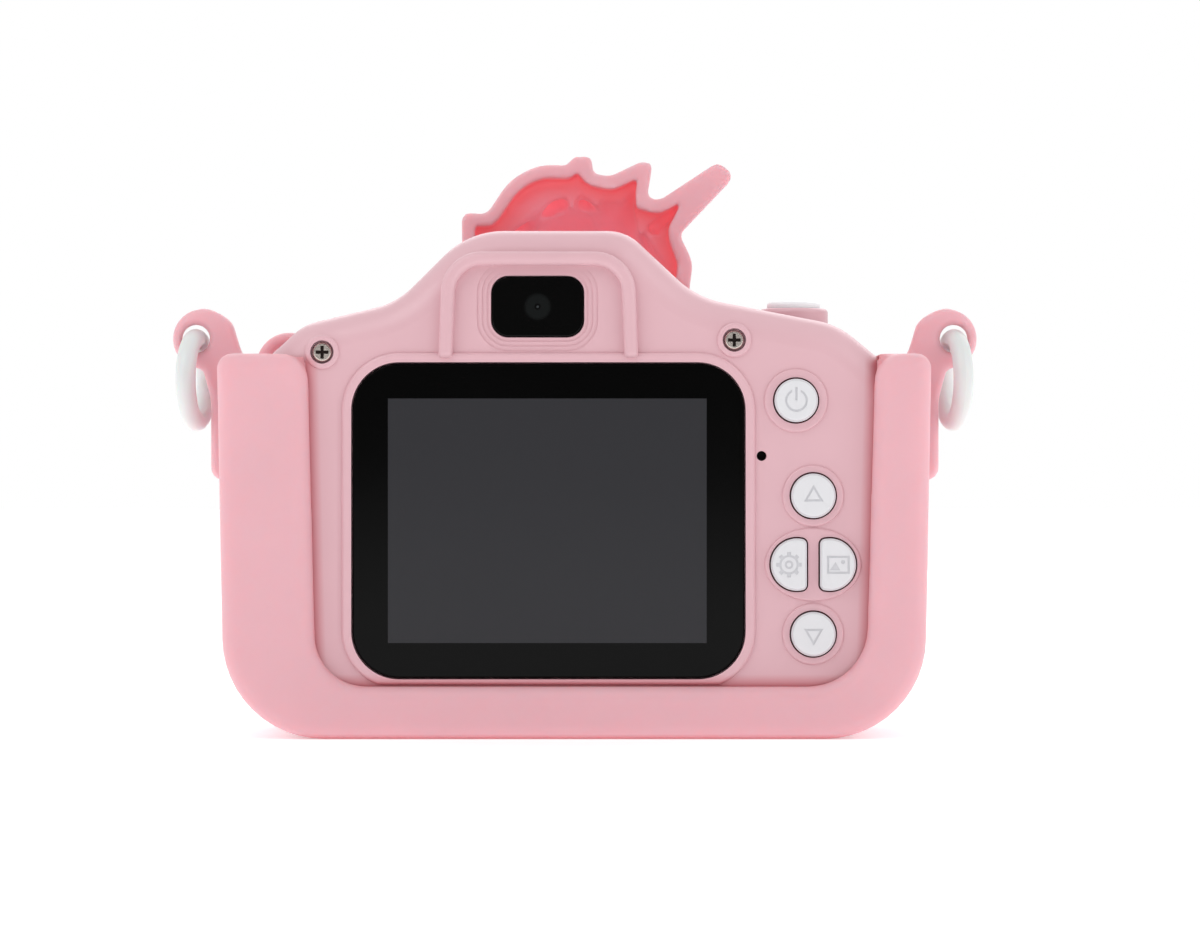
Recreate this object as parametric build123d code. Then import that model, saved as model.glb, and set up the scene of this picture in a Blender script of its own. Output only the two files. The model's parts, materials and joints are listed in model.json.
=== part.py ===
from build123d import *
import math
import os

# Children's digital camera in a silicone sleeve with a hollow unicorn head.
#
# Millimetres.  X runs to the right as the screen is looked at, Y from the screen side
# to the lens side, and Z up.  The origin is the middle of the base of the whole camera.

# ---- Driving sizes ---------------------------------------------------------------
# Whole object
total_depth = 44.0
body_width = 86.1
body_height = 62.5
body_depth = 26.0
side_taper = 0.9
base_corner = 10.4

# Silicone sleeve
sleeve_wall = 2.6
sleeve_lip = 2.2
lip_low_z = 6.75
sleeve_fit = 0.15
arm_top_z = 49.3
left_arm_top = 11.6
left_arm_foot = 12.7
right_arm_top = 7.2
right_arm_foot = 8.4
panel_thickness = 2.4
panel_top_z = 49.8
sleeve_rear_round = 1.6
sleeve_front_round = 2.0
head_rim = 1.6
head_skin = 2.2
head_base_depth = 6.0
head_front_round = 5.0

# Hard shells
shell_wall = 1.8
rear_edge_round = 4.0
front_edge_round = 2.5
inner_round = 1.6
seam_from_rear = 13.0
seam_groove = 0.25

# Hump and shoulders
hump_left = -13.6
hump_right = 6.64
shoulder_drop = 12.1
shoulder_inset = 8.2
side_drop = 19.6

# Screen
screen_x = -3.3
screen_z = 27.9
screen_width = 50.2
screen_height = 40.3
screen_corner = 6.0
screen_fit = 0.15
window_thickness = 1.2
window_inset = 0.35
frame_border = 1.4
frame_rise = 0.55
ledge_width = 2.6
ledge_thickness = 1.3
tape_thickness = 0.25
lcd_side_border = 3.2
lcd_end_border = 2.95
lcd_glass = 1.1
backlight_thickness = 2.2
lcd_tray_wall = 0.4
lcd_shift = -0.15
lcd_view_gap = 0.4

# Self-portrait camera under the viewfinder arch
selfie_x = -4.7
selfie_drop = 9.9
selfie_width = 11.8
selfie_height = 7.75
selfie_corner = 2.15
selfie_step = 0.62
selfie_step_depth = 0.22
selfie_glass = 1.0
arch_width = 25.6
arch_height = 13.6
arch_band = 1.8
arch_rise = 1.5
arch_corner = 5.3

# Buttons on the back
power_x = 28.4
power_z = 43.3
power_cap = 5.55
key_x = 30.6
up_z = 31.1
down_z = 13.4
key_cap = 5.7
d_key_z = 22.3
d_key_offset = 3.15
d_key_height = 6.7
d_key_width = 4.6
button_gap = 0.2
button_proud = 0.95
button_edge = 0.45
button_travel = 0.5
flange_border = 0.5
flange_thickness = 0.7
halo_border = 1.1
halo_rise = 0.35
icon_depth = 0.12
icon_line = 0.28
mic_x = 24.0
mic_z = 36.2
mic_hole = 1.27

# Shutter
shutter_inset = 14.35
shutter_cap = 7.0
shutter_collar = 9.0
shutter_collar_rise = 2.4
shutter_cap_rise = 3.25
shutter_seat_depth = 0.6

# Screws
upper_left_screw_inset = 10.75
upper_left_screw_drop = 3.65
upper_right_screw_x = 20.5
upper_right_screw_drop = 2.1
lower_screw_inset = 4.85
lower_screw_z = 9.6
screw_head = 2.5
screw_head_height = 0.8
screw_shank = 1.35
screw_length = 8.0
screw_recess = 3.0
screw_recess_depth = 0.9
screw_boss = 4.4
pilot_gap = 0.1

# Strap lugs and rings
lug_hole_reach = 3.9
lug_hole_rise = 2.3
lug_hole = 3.6
lug_end_reach = 3.1
lug_end = 7.8
lug_thickness = 2.8
ring_wire = 2.6
ring_outer = 13.4
ring_turn = 9.0

# Lens on the front
lens_x = -4.7
lens_z = 31.0
lens_ring_outer = 25.2
lens_ring_inner = 20.4
lens_ring_fit = 0.2
lens_ring_back = 1.2
lens_cover_thickness = 1.2
lens_barrel_outer = 11.0
lens_spigot = 20.0
lens_tube_wall = 2.0

# Electronics
board_thickness = 1.2
board_gap = 0.9
battery_width = 48.0
battery_height = 30.0
battery_thickness = 6.0
battery_x = -12.0
battery_z = 27.0
pad_thickness = 3.0
usb_x = 8.0
usb_width = 7.6
usb_height = 2.7
usb_depth = 5.6
card_x = -14.0
card_width = 11.0
card_thickness = 0.8
card_length = 15.0
card_travel = 2.0
speaker_x = 30.4
speaker_z = 13.9
speaker_size = 13.0
speaker_thickness = 4.0
lead = 1.0

# ---- Places worked out from those sizes -------------------------------------------
half_width = body_width / 2
sleeve_rear_y = -total_depth / 2
head_front_y = total_depth / 2
body_rear_y = sleeve_rear_y + sleeve_lip + sleeve_fit
body_front_y = body_rear_y + body_depth
body_mid_y = body_rear_y + body_depth / 2
panel_inner_y = body_front_y + sleeve_fit
panel_outer_y = panel_inner_y + panel_thickness
head_base_y = panel_inner_y + head_base_depth
seam_y = body_rear_y + seam_from_rear
inside_rear_y = body_rear_y + shell_wall
inside_front_y = body_front_y - shell_wall
body_base_z = sleeve_wall + sleeve_fit
hump_z = body_base_z + body_height
shoulder_z = hump_z - shoulder_drop
side_top_z = hump_z - side_drop
selfie_z = hump_z - selfie_drop
outer_half = half_width + sleeve_fit + sleeve_wall
lug_hole_x = outer_half + lug_hole_reach
lug_hole_z = arm_top_z + lug_hole_rise
lug_end_x = outer_half + lug_end_reach
shutter_x = half_width - shutter_inset
shutter_collar_top = shoulder_z + shutter_collar_rise
shutter_cap_top = shoulder_z + shutter_cap_rise
lcd_width = screen_width - 2 * lcd_side_border
lcd_height = screen_height - 2 * lcd_end_border
lcd_view_x = screen_x + lcd_shift

window_rear_y = body_rear_y - frame_rise + window_inset
window_front_y = window_rear_y + window_thickness
tape_front_y = window_front_y + tape_thickness
ledge_front_y = tape_front_y + ledge_thickness
lcd_front_y = tape_front_y + lcd_glass
backlight_front_y = lcd_front_y + backlight_thickness
tray_front_y = backlight_front_y + lcd_tray_wall
board_rear_y = tray_front_y + board_gap
board_front_y = board_rear_y + board_thickness
battery_rear_y = board_front_y + pad_thickness
battery_front_y = battery_rear_y + battery_thickness

lower_screw_x = half_width - lower_screw_inset
screw_places = [
    (-half_width + upper_left_screw_inset, shoulder_z - upper_left_screw_drop),
    (upper_right_screw_x, shoulder_z - upper_right_screw_drop),
    (-lower_screw_x, lower_screw_z),
    (lower_screw_x, lower_screw_z),
]
board_screw_places = [
    (-half_width + 10.05, 38.5),
    (-half_width + 10.05, 16.5),
    (screen_x + screen_width / 2 + 1.6, 9.2),
    (half_width - 5.25, 36.5),
]


# ---- Helpers ------------------------------------------------------------------------
def facing(y):
    """A plane at depth y whose own x and y are the camera's X and Z."""
    return Plane(origin=(0, y, 0), x_dir=(1, 0, 0), z_dir=(0, -1, 0))


def prism(sketch, rear_y, front_y):
    """Push a flat outline in X and Z from rear_y to front_y."""
    return extrude(facing(front_y) * sketch, amount=front_y - rear_y)


def outline(corners):
    """A closed face through corners given as (x, z, radius)."""
    points = [(x, z) for x, z, radius in corners]
    radii = [radius for x, z, radius in corners]
    return make_face(FilletPolyline(*points, radius=radii, close=True).edges())


def disc(x, z, diameter):
    return Pos(x, z) * Circle(diameter / 2)


def block(x0, x1, y0, y1, z0, z1):
    middle = ((x0 + x1) / 2, (y0 + y1) / 2, (z0 + z1) / 2)
    return Pos(*middle) * Box(x1 - x0, y1 - y0, z1 - z0)


def post(x, y, z, diameter, height):
    """A round post that stands up from z."""
    return Pos(x, y, z + height / 2) * Cylinder(diameter / 2, height)


def rear_edges(solid):
    return solid.edges().group_by(Axis.Y)[0]


def front_edges(solid):
    return solid.edges().group_by(Axis.Y)[-1]


def as_one(solid):
    """A single solid, with the faces that a union split joined again."""
    return solid.clean()


def save(name, *solids):
    shape = solids[0] if len(solids) == 1 else Compound(children=list(solids))
    export_step(shape, "parts/" + name + ".step")


# ---- Outlines that more than one piece follows --------------------------------------
def body_outline():
    """The hard case: straight sides, soft shoulders and the hump of the viewfinder."""
    foot = half_width - side_taper
    return outline(
        [
            (-foot, body_base_z, base_corner),
            (-half_width, side_top_z, 8.0),
            (-half_width + shoulder_inset, shoulder_z, 7.0),
            (hump_left - 9.3, shoulder_z + 2.85, 10.0),
            (hump_left, hump_z, 11.0),
            (hump_right, hump_z, 6.0),
            (hump_right + 9.15, shoulder_z + 3.5, 12.0),
            (half_width - shoulder_inset - 0.9, shoulder_z, 10.0),
            (half_width, side_top_z, 9.0),
            (foot, body_base_z, base_corner),
        ]
    )


def sleeve_outline(top_z, top_round):
    """The sleeve from outside: a tray with round lower corners, cut level at top_z."""
    foot = outer_half - side_taper
    foot_round = base_corner + sleeve_wall
    return outline(
        [
            (-foot, 0, foot_round),
            (-outer_half, top_z, top_round),
            (outer_half, top_z, top_round),
            (foot, 0, foot_round),
        ]
    )


def lip_outline():
    """The rear lip: the same tray as a band that shows the back of the camera."""
    foot = outer_half - side_taper
    foot_round = base_corner + sleeve_wall
    return outline(
        [
            (-foot, 0, foot_round),
            (-outer_half, arm_top_z, 1.9),
            (-outer_half + left_arm_top, arm_top_z, 3.5),
            (-outer_half + left_arm_foot, lip_low_z, 6.5),
            (outer_half - right_arm_foot, lip_low_z, 7.6),
            (outer_half - right_arm_top, arm_top_z, 3.5),
            (outer_half, arm_top_z, 1.9),
            (foot, 0, foot_round),
        ]
    )


def head_outline():
    """The unicorn's head in profile: mane, forelock, ear and horn, then nose and neck."""
    return outline(
        [
            (-15.3, hump_z - 6.25, 2.0),
            (-15.4, hump_z + 3.95, 1.2),
            (-12.0, hump_z + 3.65, 0.8),
            (-8.9, hump_z + 8.35, 2.5),
            (-4.9, hump_z + 10.35, 3.0),
            (-1.3, hump_z + 10.25, 0.8),
            (-0.2, hump_z + 11.35, 0.7),
            (2.2, hump_z + 11.45, 0.9),
            (2.5, hump_z + 9.15, 0.6),
            (4.6, hump_z + 8.75, 1.0),
            (8.6, hump_z + 10.65, 0.9),
            (10.5, hump_z + 10.65, 0.8),
            (9.6, hump_z + 5.45, 0.7),
            (11.6, hump_z + 5.75, 1.2),
            (19.2, hump_z + 10.75, 1.3),
            (21.6, hump_z + 8.75, 1.3),
            (14.1, hump_z + 0.85, 0.8),
            (15.6, hump_z - 2.65, 3.0),
            (15.0, hump_z - 10.25, 8.0),
            (26.5, 37.0, 8.0),
            (29.5, 25.0, 6.0),
            (21.0, 13.5, 7.0),
            (6.0, 9.0, 6.0),
            (-30.0, 8.5, 6.0),
            (-33.5, 20.0, 5.0),
            (-29.5, 27.0, 3.0),
            (-34.0, 35.0, 5.0),
            (-29.0, 42.0, 3.0),
            (-30.0, hump_z - 14.25, 5.0),
            (-20.0, hump_z - 9.75, 4.0),
        ]
    )


def hollow_outline():
    """The opening behind the head: the profile less its rim, with a slit into the horn."""
    return outline(
        [
            (-15.3 + head_rim, hump_z - 6.25, 1.0),
            (-15.4 + head_rim, hump_z + 2.35, 0.7),
            (-11.3, hump_z + 2.15, 0.8),
            (-7.9, hump_z + 7.05, 2.0),
            (-4.7, hump_z + 10.35 - head_rim, 1.8),
            (0.9, hump_z + 10.35 - head_rim, 1.0),
            (2.2, hump_z + 7.65, 0.8),
            (5.0, hump_z + 7.05, 0.9),
            (8.8, hump_z + 8.75, 0.4),
            (8.1, hump_z + 4.35, 0.6),
            (11.2, hump_z + 3.95, 0.3),
            (13.6, hump_z + 4.85, 0.2),
            (12.4, hump_z + 1.55, 0.8),
            (15.4 - head_rim, hump_z - 2.85, 2.5),
            (14.9 - head_rim, hump_z - 10.25, 6.0),
            (-8.0, hump_z - 15.25, 6.0),
        ]
    )


def cheek_outline():
    """The rounder mass of the face inside that profile."""
    return outline(
        [
            (-21.5, 11.0, 10.0),
            (-22.5, 44.0, 10.0),
            (-12.5, hump_z + 0.25, 9.0),
            (-2.0, hump_z + 8.25, 8.0),
            (8.5, hump_z + 6.25, 6.0),
            (13.5, hump_z - 3.25, 8.0),
            (15.0, hump_z - 13.25, 12.0),
            (25.0, 37.0, 8.0),
            (27.5, 25.0, 6.0),
            (19.0, 15.0, 8.0),
            (6.0, 11.0, 10.0),
        ]
    )


def screen_outline(border):
    width = screen_width + 2 * border
    height = screen_height + 2 * border
    return Pos(screen_x, screen_z) * RectangleRounded(width, height, screen_corner + border)


def selfie_outline(border):
    width = selfie_width + 2 * border
    height = selfie_height + 2 * border
    return Pos(selfie_x, selfie_z) * RectangleRounded(width, height, selfie_corner + border)


def arch_outline():
    """The inverted U of the viewfinder, with feet that spread a little."""
    half = arch_width / 2
    foot_z = selfie_z - 6.6
    top_z = foot_z + arch_height
    inner_round = arch_corner - arch_band
    corners = [
        (-half, foot_z, 0.5),
        (-half + 0.5, top_z, arch_corner),
        (half - 0.5, top_z, arch_corner),
        (half, foot_z, 0.5),
        (half - arch_band, foot_z, 0.5),
        (half - 0.5 - arch_band, top_z - arch_band, inner_round),
        (-half + 0.5 + arch_band, top_z - arch_band, inner_round),
        (-half + arch_band, foot_z, 0.5),
    ]
    return Pos(selfie_x + 0.1, 0) * outline(corners)


def d_outline(side, border):
    """A half-round key; side is -1 for the left one, whose flat faces right."""
    radius = d_key_height / 2 + border
    half = d_key_width / 2 + border
    shape = Pos(half - radius, 0) * Circle(radius)
    shape -= Pos(-half - radius, 0) * Rectangle(2 * radius, 4 * radius)
    shape = fillet(shape.vertices().group_by(Axis.X)[0], 0.7 + border)
    if side < 0:
        shape = mirror(shape, Plane.YZ)
    return Pos(key_x + side * d_key_offset, d_key_z) * shape


def button_outlines(border):
    """Each back button's outline, wider by border, under the name of its piece."""
    return {
        "power_button": disc(power_x, power_z, power_cap + 2 * border),
        "up_button": disc(key_x, up_z, key_cap + 2 * border),
        "down_button": disc(key_x, down_z, key_cap + 2 * border),
        "settings_button": d_outline(-1, border),
        "gallery_button": d_outline(1, border),
    }


button_centres = {
    "power_button": (power_x, power_z),
    "up_button": (key_x, up_z),
    "down_button": (key_x, down_z),
    "settings_button": (key_x - d_key_offset, d_key_z),
    "gallery_button": (key_x + d_key_offset, d_key_z),
}


# ---- Silicone sleeve ------------------------------------------------------------------
def lug(side):
    """A strap lug that leans out from the arm on its pad; side is -1 or 1."""
    neck = outline(
        [
            (outer_half - 1.6, arm_top_z - 16.2, 0),
            (outer_half + 2.0, arm_top_z - 16.2, 1.6),
            (outer_half + 2.0, arm_top_z - 5.7, 4.0),
            (outer_half + 3.3, arm_top_z - 0.7, 2.0),
            (lug_end_x + lug_end / 2 - 0.6, lug_hole_z - 1.2, 0.3),
            (lug_end_x, lug_hole_z + lug_end / 2 - 0.2, 0.5),
            (outer_half - 0.6, arm_top_z + 4.7, 2.0),
            (outer_half - 2.4, arm_top_z - 0.7, 0),
        ]
    )
    flat = neck + disc(lug_end_x, lug_hole_z, lug_end)
    solid = prism(flat, body_mid_y - lug_thickness / 2, body_mid_y + lug_thickness / 2)
    bore = prism(disc(lug_hole_x, lug_hole_z, lug_hole), sleeve_rear_y, head_front_y)
    solid -= bore
    if side < 0:
        solid = mirror(solid, Plane.YZ)
    return solid


def shoulder_loop():
    """The small loop on the front panel's top corner."""
    centre_x = -outer_half + 7.2
    centre_z = panel_top_z - 1.4
    ring = disc(centre_x, centre_z, 9.0) - disc(centre_x, centre_z, 5.6)
    return prism(ring, panel_inner_y, panel_outer_y)


def unicorn_head():
    """The hollow head: a stepped shell, closed in front and open behind."""
    face = prism(cheek_outline(), panel_inner_y, head_front_y)
    face = fillet(front_edges(face), head_front_round)
    return prism(head_outline(), panel_inner_y, head_base_y) + face


def unicorn_hollow():
    """The space inside the head, round the tube that holds the lens."""
    hollow = prism(hollow_outline(), panel_inner_y - 1, head_base_y - head_rim)
    room = prism(offset(cheek_outline(), -head_skin), panel_inner_y - 1, head_front_y - head_skin)
    hollow += fillet(front_edges(room), head_front_round - head_skin)
    tube = lens_ring_outer + 2 * (lens_ring_fit + lens_tube_wall)
    return hollow - prism(disc(lens_x, lens_z, tube), panel_inner_y - 2, head_front_y + 1)


def port_windows(border, low_z, high_z):
    """The two slots in the base, for the plug and for the card."""
    usb_y = board_front_y + usb_height / 2
    card_y = board_front_y + 1.0
    usb = (usb_width / 2 + border, usb_height / 2 + border)
    card = (card_width / 2 + border, card_thickness / 2 + border)
    usb_slot = block(usb_x - usb[0], usb_x + usb[0], usb_y - usb[1], usb_y + usb[1], low_z, high_z)
    card_slot = block(
        card_x - card[0], card_x + card[0], card_y - card[1], card_y + card[1], low_z, high_z
    )
    return usb_slot + card_slot


def silicone_sleeve():
    tray = prism(sleeve_outline(arm_top_z, 1.9), body_rear_y, panel_outer_y - 1)
    lip = prism(lip_outline(), sleeve_rear_y, body_rear_y + 1)
    lip = fillet(rear_edges(lip), sleeve_rear_round)
    panel = prism(sleeve_outline(panel_top_z, 6.0), panel_inner_y - 2, panel_outer_y)
    panel = fillet(front_edges(panel), sleeve_front_round)
    room = offset(body_outline(), sleeve_fit)
    body_room = prism(room, body_rear_y - sleeve_fit, panel_inner_y)
    sleeve = tray + panel + lip
    for side in (-1, 1):
        sleeve += lug(side)
    sleeve += shoulder_loop()
    sleeve -= body_room
    sleeve += unicorn_head()
    sleeve -= unicorn_hollow()
    lens_room = disc(lens_x, lens_z, lens_ring_outer + 2 * lens_ring_fit)
    sleeve -= prism(lens_room, body_rear_y, head_front_y + 1)
    sleeve -= port_windows(0.55, -1, body_base_z)
    for x, z in speaker_holes():
        sleeve -= prism(disc(x, z, 1.8), body_front_y, head_front_y)
    return as_one(sleeve)


def speaker_holes():
    """One hole and a ring of six round it."""
    places = [(speaker_x, speaker_z)]
    for step in range(6):
        turn = math.radians(60 * step)
        places.append((speaker_x + 3.4 * math.cos(turn), speaker_z + 3.4 * math.sin(turn)))
    return places


# ---- Hard shells ------------------------------------------------------------------------
def hollow_case():
    """Both shells as one closed box of even wall."""
    case = prism(body_outline(), body_rear_y, body_front_y)
    case = fillet(rear_edges(case), rear_edge_round)
    case = fillet(front_edges(case), front_edge_round)
    room = prism(offset(body_outline(), -shell_wall), inside_rear_y, inside_front_y)
    room = fillet(rear_edges(room), inner_round)
    room = fillet(front_edges(room), inner_round)
    return case - room


def seam_ring():
    """The fine groove that the two shells leave where they meet."""
    ring = body_outline() - offset(body_outline(), -seam_groove)
    return prism(ring, seam_y - seam_groove / 2, seam_y + seam_groove / 2)


def shutter_bore(diameter, low_z):
    return post(shutter_x, body_mid_y, low_z, diameter, shutter_cap_top + 5 - low_z)


def raised(sketch, rise, edge):
    """A low pad that stands proud of the back, with a soft edge."""
    pad = prism(sketch, body_rear_y - rise, body_rear_y + 0.5)
    return fillet(rear_edges(pad), edge)


def rear_additions():
    """What stands out from the back and what stiffens it inside."""
    above_lip = Pos(0, lip_low_z + sleeve_fit + 50) * Rectangle(200, 100)
    pieces = [raised(screen_outline(frame_border) & above_lip, frame_rise, 0.5)]
    arch = prism(arch_outline(), body_rear_y - arch_rise, body_rear_y + 1.0)
    pieces.append(fillet(rear_edges(arch), 0.75))
    pieces.append(raised(disc(power_x, power_z, power_cap + 2 * 1.3), halo_rise, 0.3))
    for z in (up_z, down_z):
        pieces.append(raised(disc(key_x, z, key_cap + 2 * halo_border), halo_rise, 0.3))
    island = Pos(key_x, d_key_z) * Ellipse(d_key_offset + d_key_width / 2 + 0.75, 4.7)
    pieces.append(raised(island, halo_rise, 0.3))
    for x, z in screw_places[:2]:
        pieces.append(raised(disc(x, z, screw_boss), halo_rise, 0.3))
    ledge = screen_outline(0.8)
    pieces.append(prism(ledge, body_rear_y + 0.5, ledge_front_y))
    selfie_ledge = selfie_outline(3 * selfie_step + 1.0)
    pieces.append(prism(selfie_ledge, body_rear_y + 0.5, inside_rear_y + 1.2))
    for x, z in screw_places:
        pieces.append(prism(disc(x, z, screw_boss), body_rear_y + 0.5, inside_rear_y + 1.6))
    for x, z in board_screw_places:
        pieces.append(prism(disc(x, z, 3.6), inside_rear_y - 0.5, board_rear_y))
    return pieces


def rear_cuts():
    """Pockets and holes through the back."""
    pieces = [prism(screen_outline(screen_fit), body_rear_y - 3, tape_front_y)]
    view = RectangleRounded(lcd_width + 2 * lcd_view_gap, lcd_height + 2 * lcd_view_gap, 1.0)
    view = Pos(lcd_view_x, screen_z) * view
    pieces.append(prism(view, body_rear_y, ledge_front_y + 1))
    for step in (1, 2, 3):
        floor_y = body_rear_y + selfie_step_depth * (4 - step)
        pieces.append(prism(selfie_outline(step * selfie_step), body_rear_y - 1, floor_y))
    selfie_floor = body_rear_y + 4 * selfie_step_depth + selfie_glass
    pieces.append(prism(selfie_outline(0.1), body_rear_y - 1, selfie_floor))
    pieces.append(prism(disc(selfie_x, selfie_z, 5.4), body_rear_y, inside_rear_y + 3))
    for sketch in button_outlines(button_gap).values():
        pieces.append(prism(sketch, body_rear_y - 2, inside_rear_y + 1))
    pieces.append(prism(disc(mic_x, mic_z, mic_hole), body_rear_y - 1, inside_rear_y + 1))
    for x, z in screw_places:
        recess = body_rear_y + screw_recess_depth
        pieces.append(prism(disc(x, z, screw_recess), body_rear_y - 2, recess))
        hole = screw_shank + 4 * pilot_gap
        pieces.append(prism(disc(x, z, hole), recess - 0.5, inside_rear_y + 3))
    for x, z in board_screw_places:
        pieces.append(prism(disc(x, z, 1.2), board_rear_y - 2.6, board_rear_y + 1))
    return pieces


def rear_shell(case):
    shell = case & block(-60, 60, body_rear_y - 1, seam_y, -5, 90)
    for piece in rear_additions():
        shell += piece
    for piece in rear_cuts():
        shell -= piece
    shell -= seam_ring()
    shell -= shutter_bore(shutter_collar - 1.6, hump_z - 20)
    shell -= shutter_seat()
    shell -= port_windows(0.25, body_base_z - 1, body_base_z + shell_wall + 0.5)
    return as_one(shell)


def shutter_seat():
    """The flat round rebate that the shutter's collar drops into."""
    return post(shutter_x, body_mid_y, shoulder_z - shutter_seat_depth, shutter_collar + 0.1, 10)


def front_shell(case):
    shell = case & block(-60, 60, seam_y, body_front_y + 1, -5, 90)
    room = offset(body_outline(), -shell_wall - sleeve_fit)
    posts = Sketch() + [disc(x, z, screw_boss) for x, z in screw_places]
    shell += prism(posts & room, inside_rear_y + 1.6, inside_front_y + 0.5)
    for x, z in screw_places:
        pilot = screw_shank + 2 * pilot_gap
        shell -= prism(disc(x, z, pilot), inside_rear_y + 1, inside_rear_y + 2.6 + screw_length)
    shell -= prism(disc(lens_x, lens_z, lens_spigot + 0.2), inside_front_y - 1, body_front_y + 1)
    for x, z in speaker_holes():
        shell -= prism(disc(x, z, 1.6), inside_front_y - 1, body_front_y + 1)
    shell -= seam_ring()
    shell -= shutter_bore(shutter_collar - 1.6, hump_z - 20)
    shell -= shutter_seat()
    return as_one(shell)


# ---- Screen and self-portrait camera --------------------------------------------------------
def screen_window():
    pane = prism(screen_outline(0), window_rear_y, window_front_y)
    return fillet(rear_edges(pane), 0.3)


def window_gasket():
    tape = screen_outline(-0.15)
    gap = lcd_view_gap + 0.05
    tape -= Pos(lcd_view_x, screen_z) * Rectangle(lcd_width + 2 * gap, lcd_height + 2 * gap)
    return prism(tape, window_front_y, tape_front_y)


def lcd_slab(rear_y, front_y, border):
    width = lcd_width + 2 * border
    height = lcd_height + 2 * border
    return prism(Pos(lcd_view_x, screen_z) * Rectangle(width, height), rear_y, front_y)


def lcd_frame():
    """The thin metal tray that holds the panel and its backlight."""
    tray = lcd_slab(ledge_front_y, tray_front_y, lcd_tray_wall)
    return tray - lcd_slab(ledge_front_y - 1, backlight_front_y, 0.03)


def ribbon(path, x, width):
    """A flat flexible cable along a path drawn in depth and height."""
    band = Plane.YZ * trace(path.edges(), 0.2)
    return extrude(Pos(x - width / 2, 0, 0) * band, amount=width)


def lcd_flex():
    """The flat ribbon from under the panel round to the main board."""
    low_z = screen_z - lcd_height / 2
    y0 = backlight_front_y - 0.6
    path = FilletPolyline(
        (y0, low_z - 0.5),
        (y0, low_z - 3.6),
        (board_rear_y - 0.15, low_z - 3.6),
        (board_rear_y - 0.15, low_z + 2.0),
        radius=0.6,
    )
    return ribbon(path, lcd_view_x, 14)


def selfie_window():
    rear_y = body_rear_y + 4 * selfie_step_depth
    pane = prism(selfie_outline(0), rear_y, rear_y + selfie_glass)
    return fillet(rear_edges(pane), 0.2)


def selfie_module():
    rear_y = inside_rear_y + 1.2
    body = prism(Pos(selfie_x, selfie_z) * Rectangle(8.2, 6.6), rear_y, rear_y + 2.4)
    nose = prism(disc(selfie_x, selfie_z, 5.0), rear_y - 1.0, rear_y)
    eye = prism(disc(selfie_x, selfie_z, 3.3), rear_y - 2, rear_y - 0.4)
    return body + nose - eye


def selfie_lens():
    rear_y = inside_rear_y + 0.4
    return fillet(rear_edges(prism(disc(selfie_x, selfie_z, 3.2), rear_y, rear_y + 0.4)), 0.15)


def selfie_flex():
    """The ribbon that runs down from the small camera to the main board."""
    y0 = inside_rear_y + 3.7
    path = FilletPolyline(
        (y0, selfie_z + 2.0),
        (y0, board_top_z + 4.0),
        (board_front_y + 0.15, board_top_z + 2.0),
        (board_front_y + 0.15, board_top_z - 4.0),
        radius=0.8,
    )
    return ribbon(path, selfie_x, 6)


# ---- Buttons ------------------------------------------------------------------------------
def key_switch_rear_y():
    return board_rear_y - 1.6


def icon(name):
    """A plain line symbol for each button, drawn round the button's own centre."""
    if name == "power_button":
        ring = Circle(1.45) - Circle(1.45 - icon_line)
        ring -= Pos(0, 1.4) * Rectangle(1.1, 1.6)
        return ring + Pos(0, 0.85) * Rectangle(icon_line, 1.7)
    if name in ("up_button", "down_button"):
        triangle = Triangle(a=2.5, B=60, C=60)
        symbol = triangle - offset(triangle, -icon_line)
        if name == "down_button":
            symbol = Rot(0, 0, 180) * symbol
        return symbol
    if name == "settings_button":
        gear = Circle(1.25)
        for step in range(8):
            gear += Rot(0, 0, 45 * step) * Pos(1.35, 0) * Rectangle(0.55, 0.5)
        return gear - Circle(0.97) + (Circle(0.55) - Circle(0.28))
    frame = Rectangle(2.9, 2.3) - Rectangle(2.9 - 2 * icon_line, 2.3 - 2 * icon_line)
    ridge = make_face(Polyline((-1.1, -0.7), (-0.35, 0.35), (0.25, -0.7), close=True).edges())
    return frame + ridge + Pos(0.6, 0.35) * Circle(0.27)


def back_button(name):
    """A cap that shows, a flange that keeps it in and a stem to its switch."""
    x, z = button_centres[name]
    cap_y = body_rear_y - halo_rise - button_proud
    flange_y = inside_rear_y + 0.1
    cap = prism(button_outlines(0)[name], cap_y, flange_y)
    cap = fillet(rear_edges(cap), button_edge)
    flange_outline = button_outlines(button_gap + flange_border)[name]
    flange = prism(flange_outline, flange_y, flange_y + flange_thickness)
    stem = prism(disc(x, z, 2.2), flange_y, key_switch_rear_y() - 0.9)
    cut = prism(Pos(x, z) * icon(name), cap_y - 1, cap_y + icon_depth)
    return cap + flange + stem - cut


def switch_stem(name):
    x, z = button_centres[name]
    rear_y = key_switch_rear_y() - 0.9
    return prism(disc(x, z, 1.6), rear_y, key_switch_rear_y() + 0.3)


def key_switches():
    """The five square switch bodies, each with a well for its stem."""
    bodies = []
    for x, z in button_centres.values():
        body = prism(Pos(x, z) * Rectangle(3.8, 3.8), key_switch_rear_y(), board_rear_y)
        bodies.append(body - prism(disc(x, z, 2.0), key_switch_rear_y() - 1, board_rear_y - 0.3))
    return bodies


# ---- Shutter --------------------------------------------------------------------------------
def shutter_collar_ring():
    seat = shoulder_z - shutter_seat_depth
    ring = post(shutter_x, body_mid_y, seat, shutter_collar, shutter_collar_top - seat)
    ring = fillet(ring.edges().group_by(Axis.Z)[-1], 0.6)
    return ring - shutter_bore(shutter_cap + 2 * button_gap, seat - 1)


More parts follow.
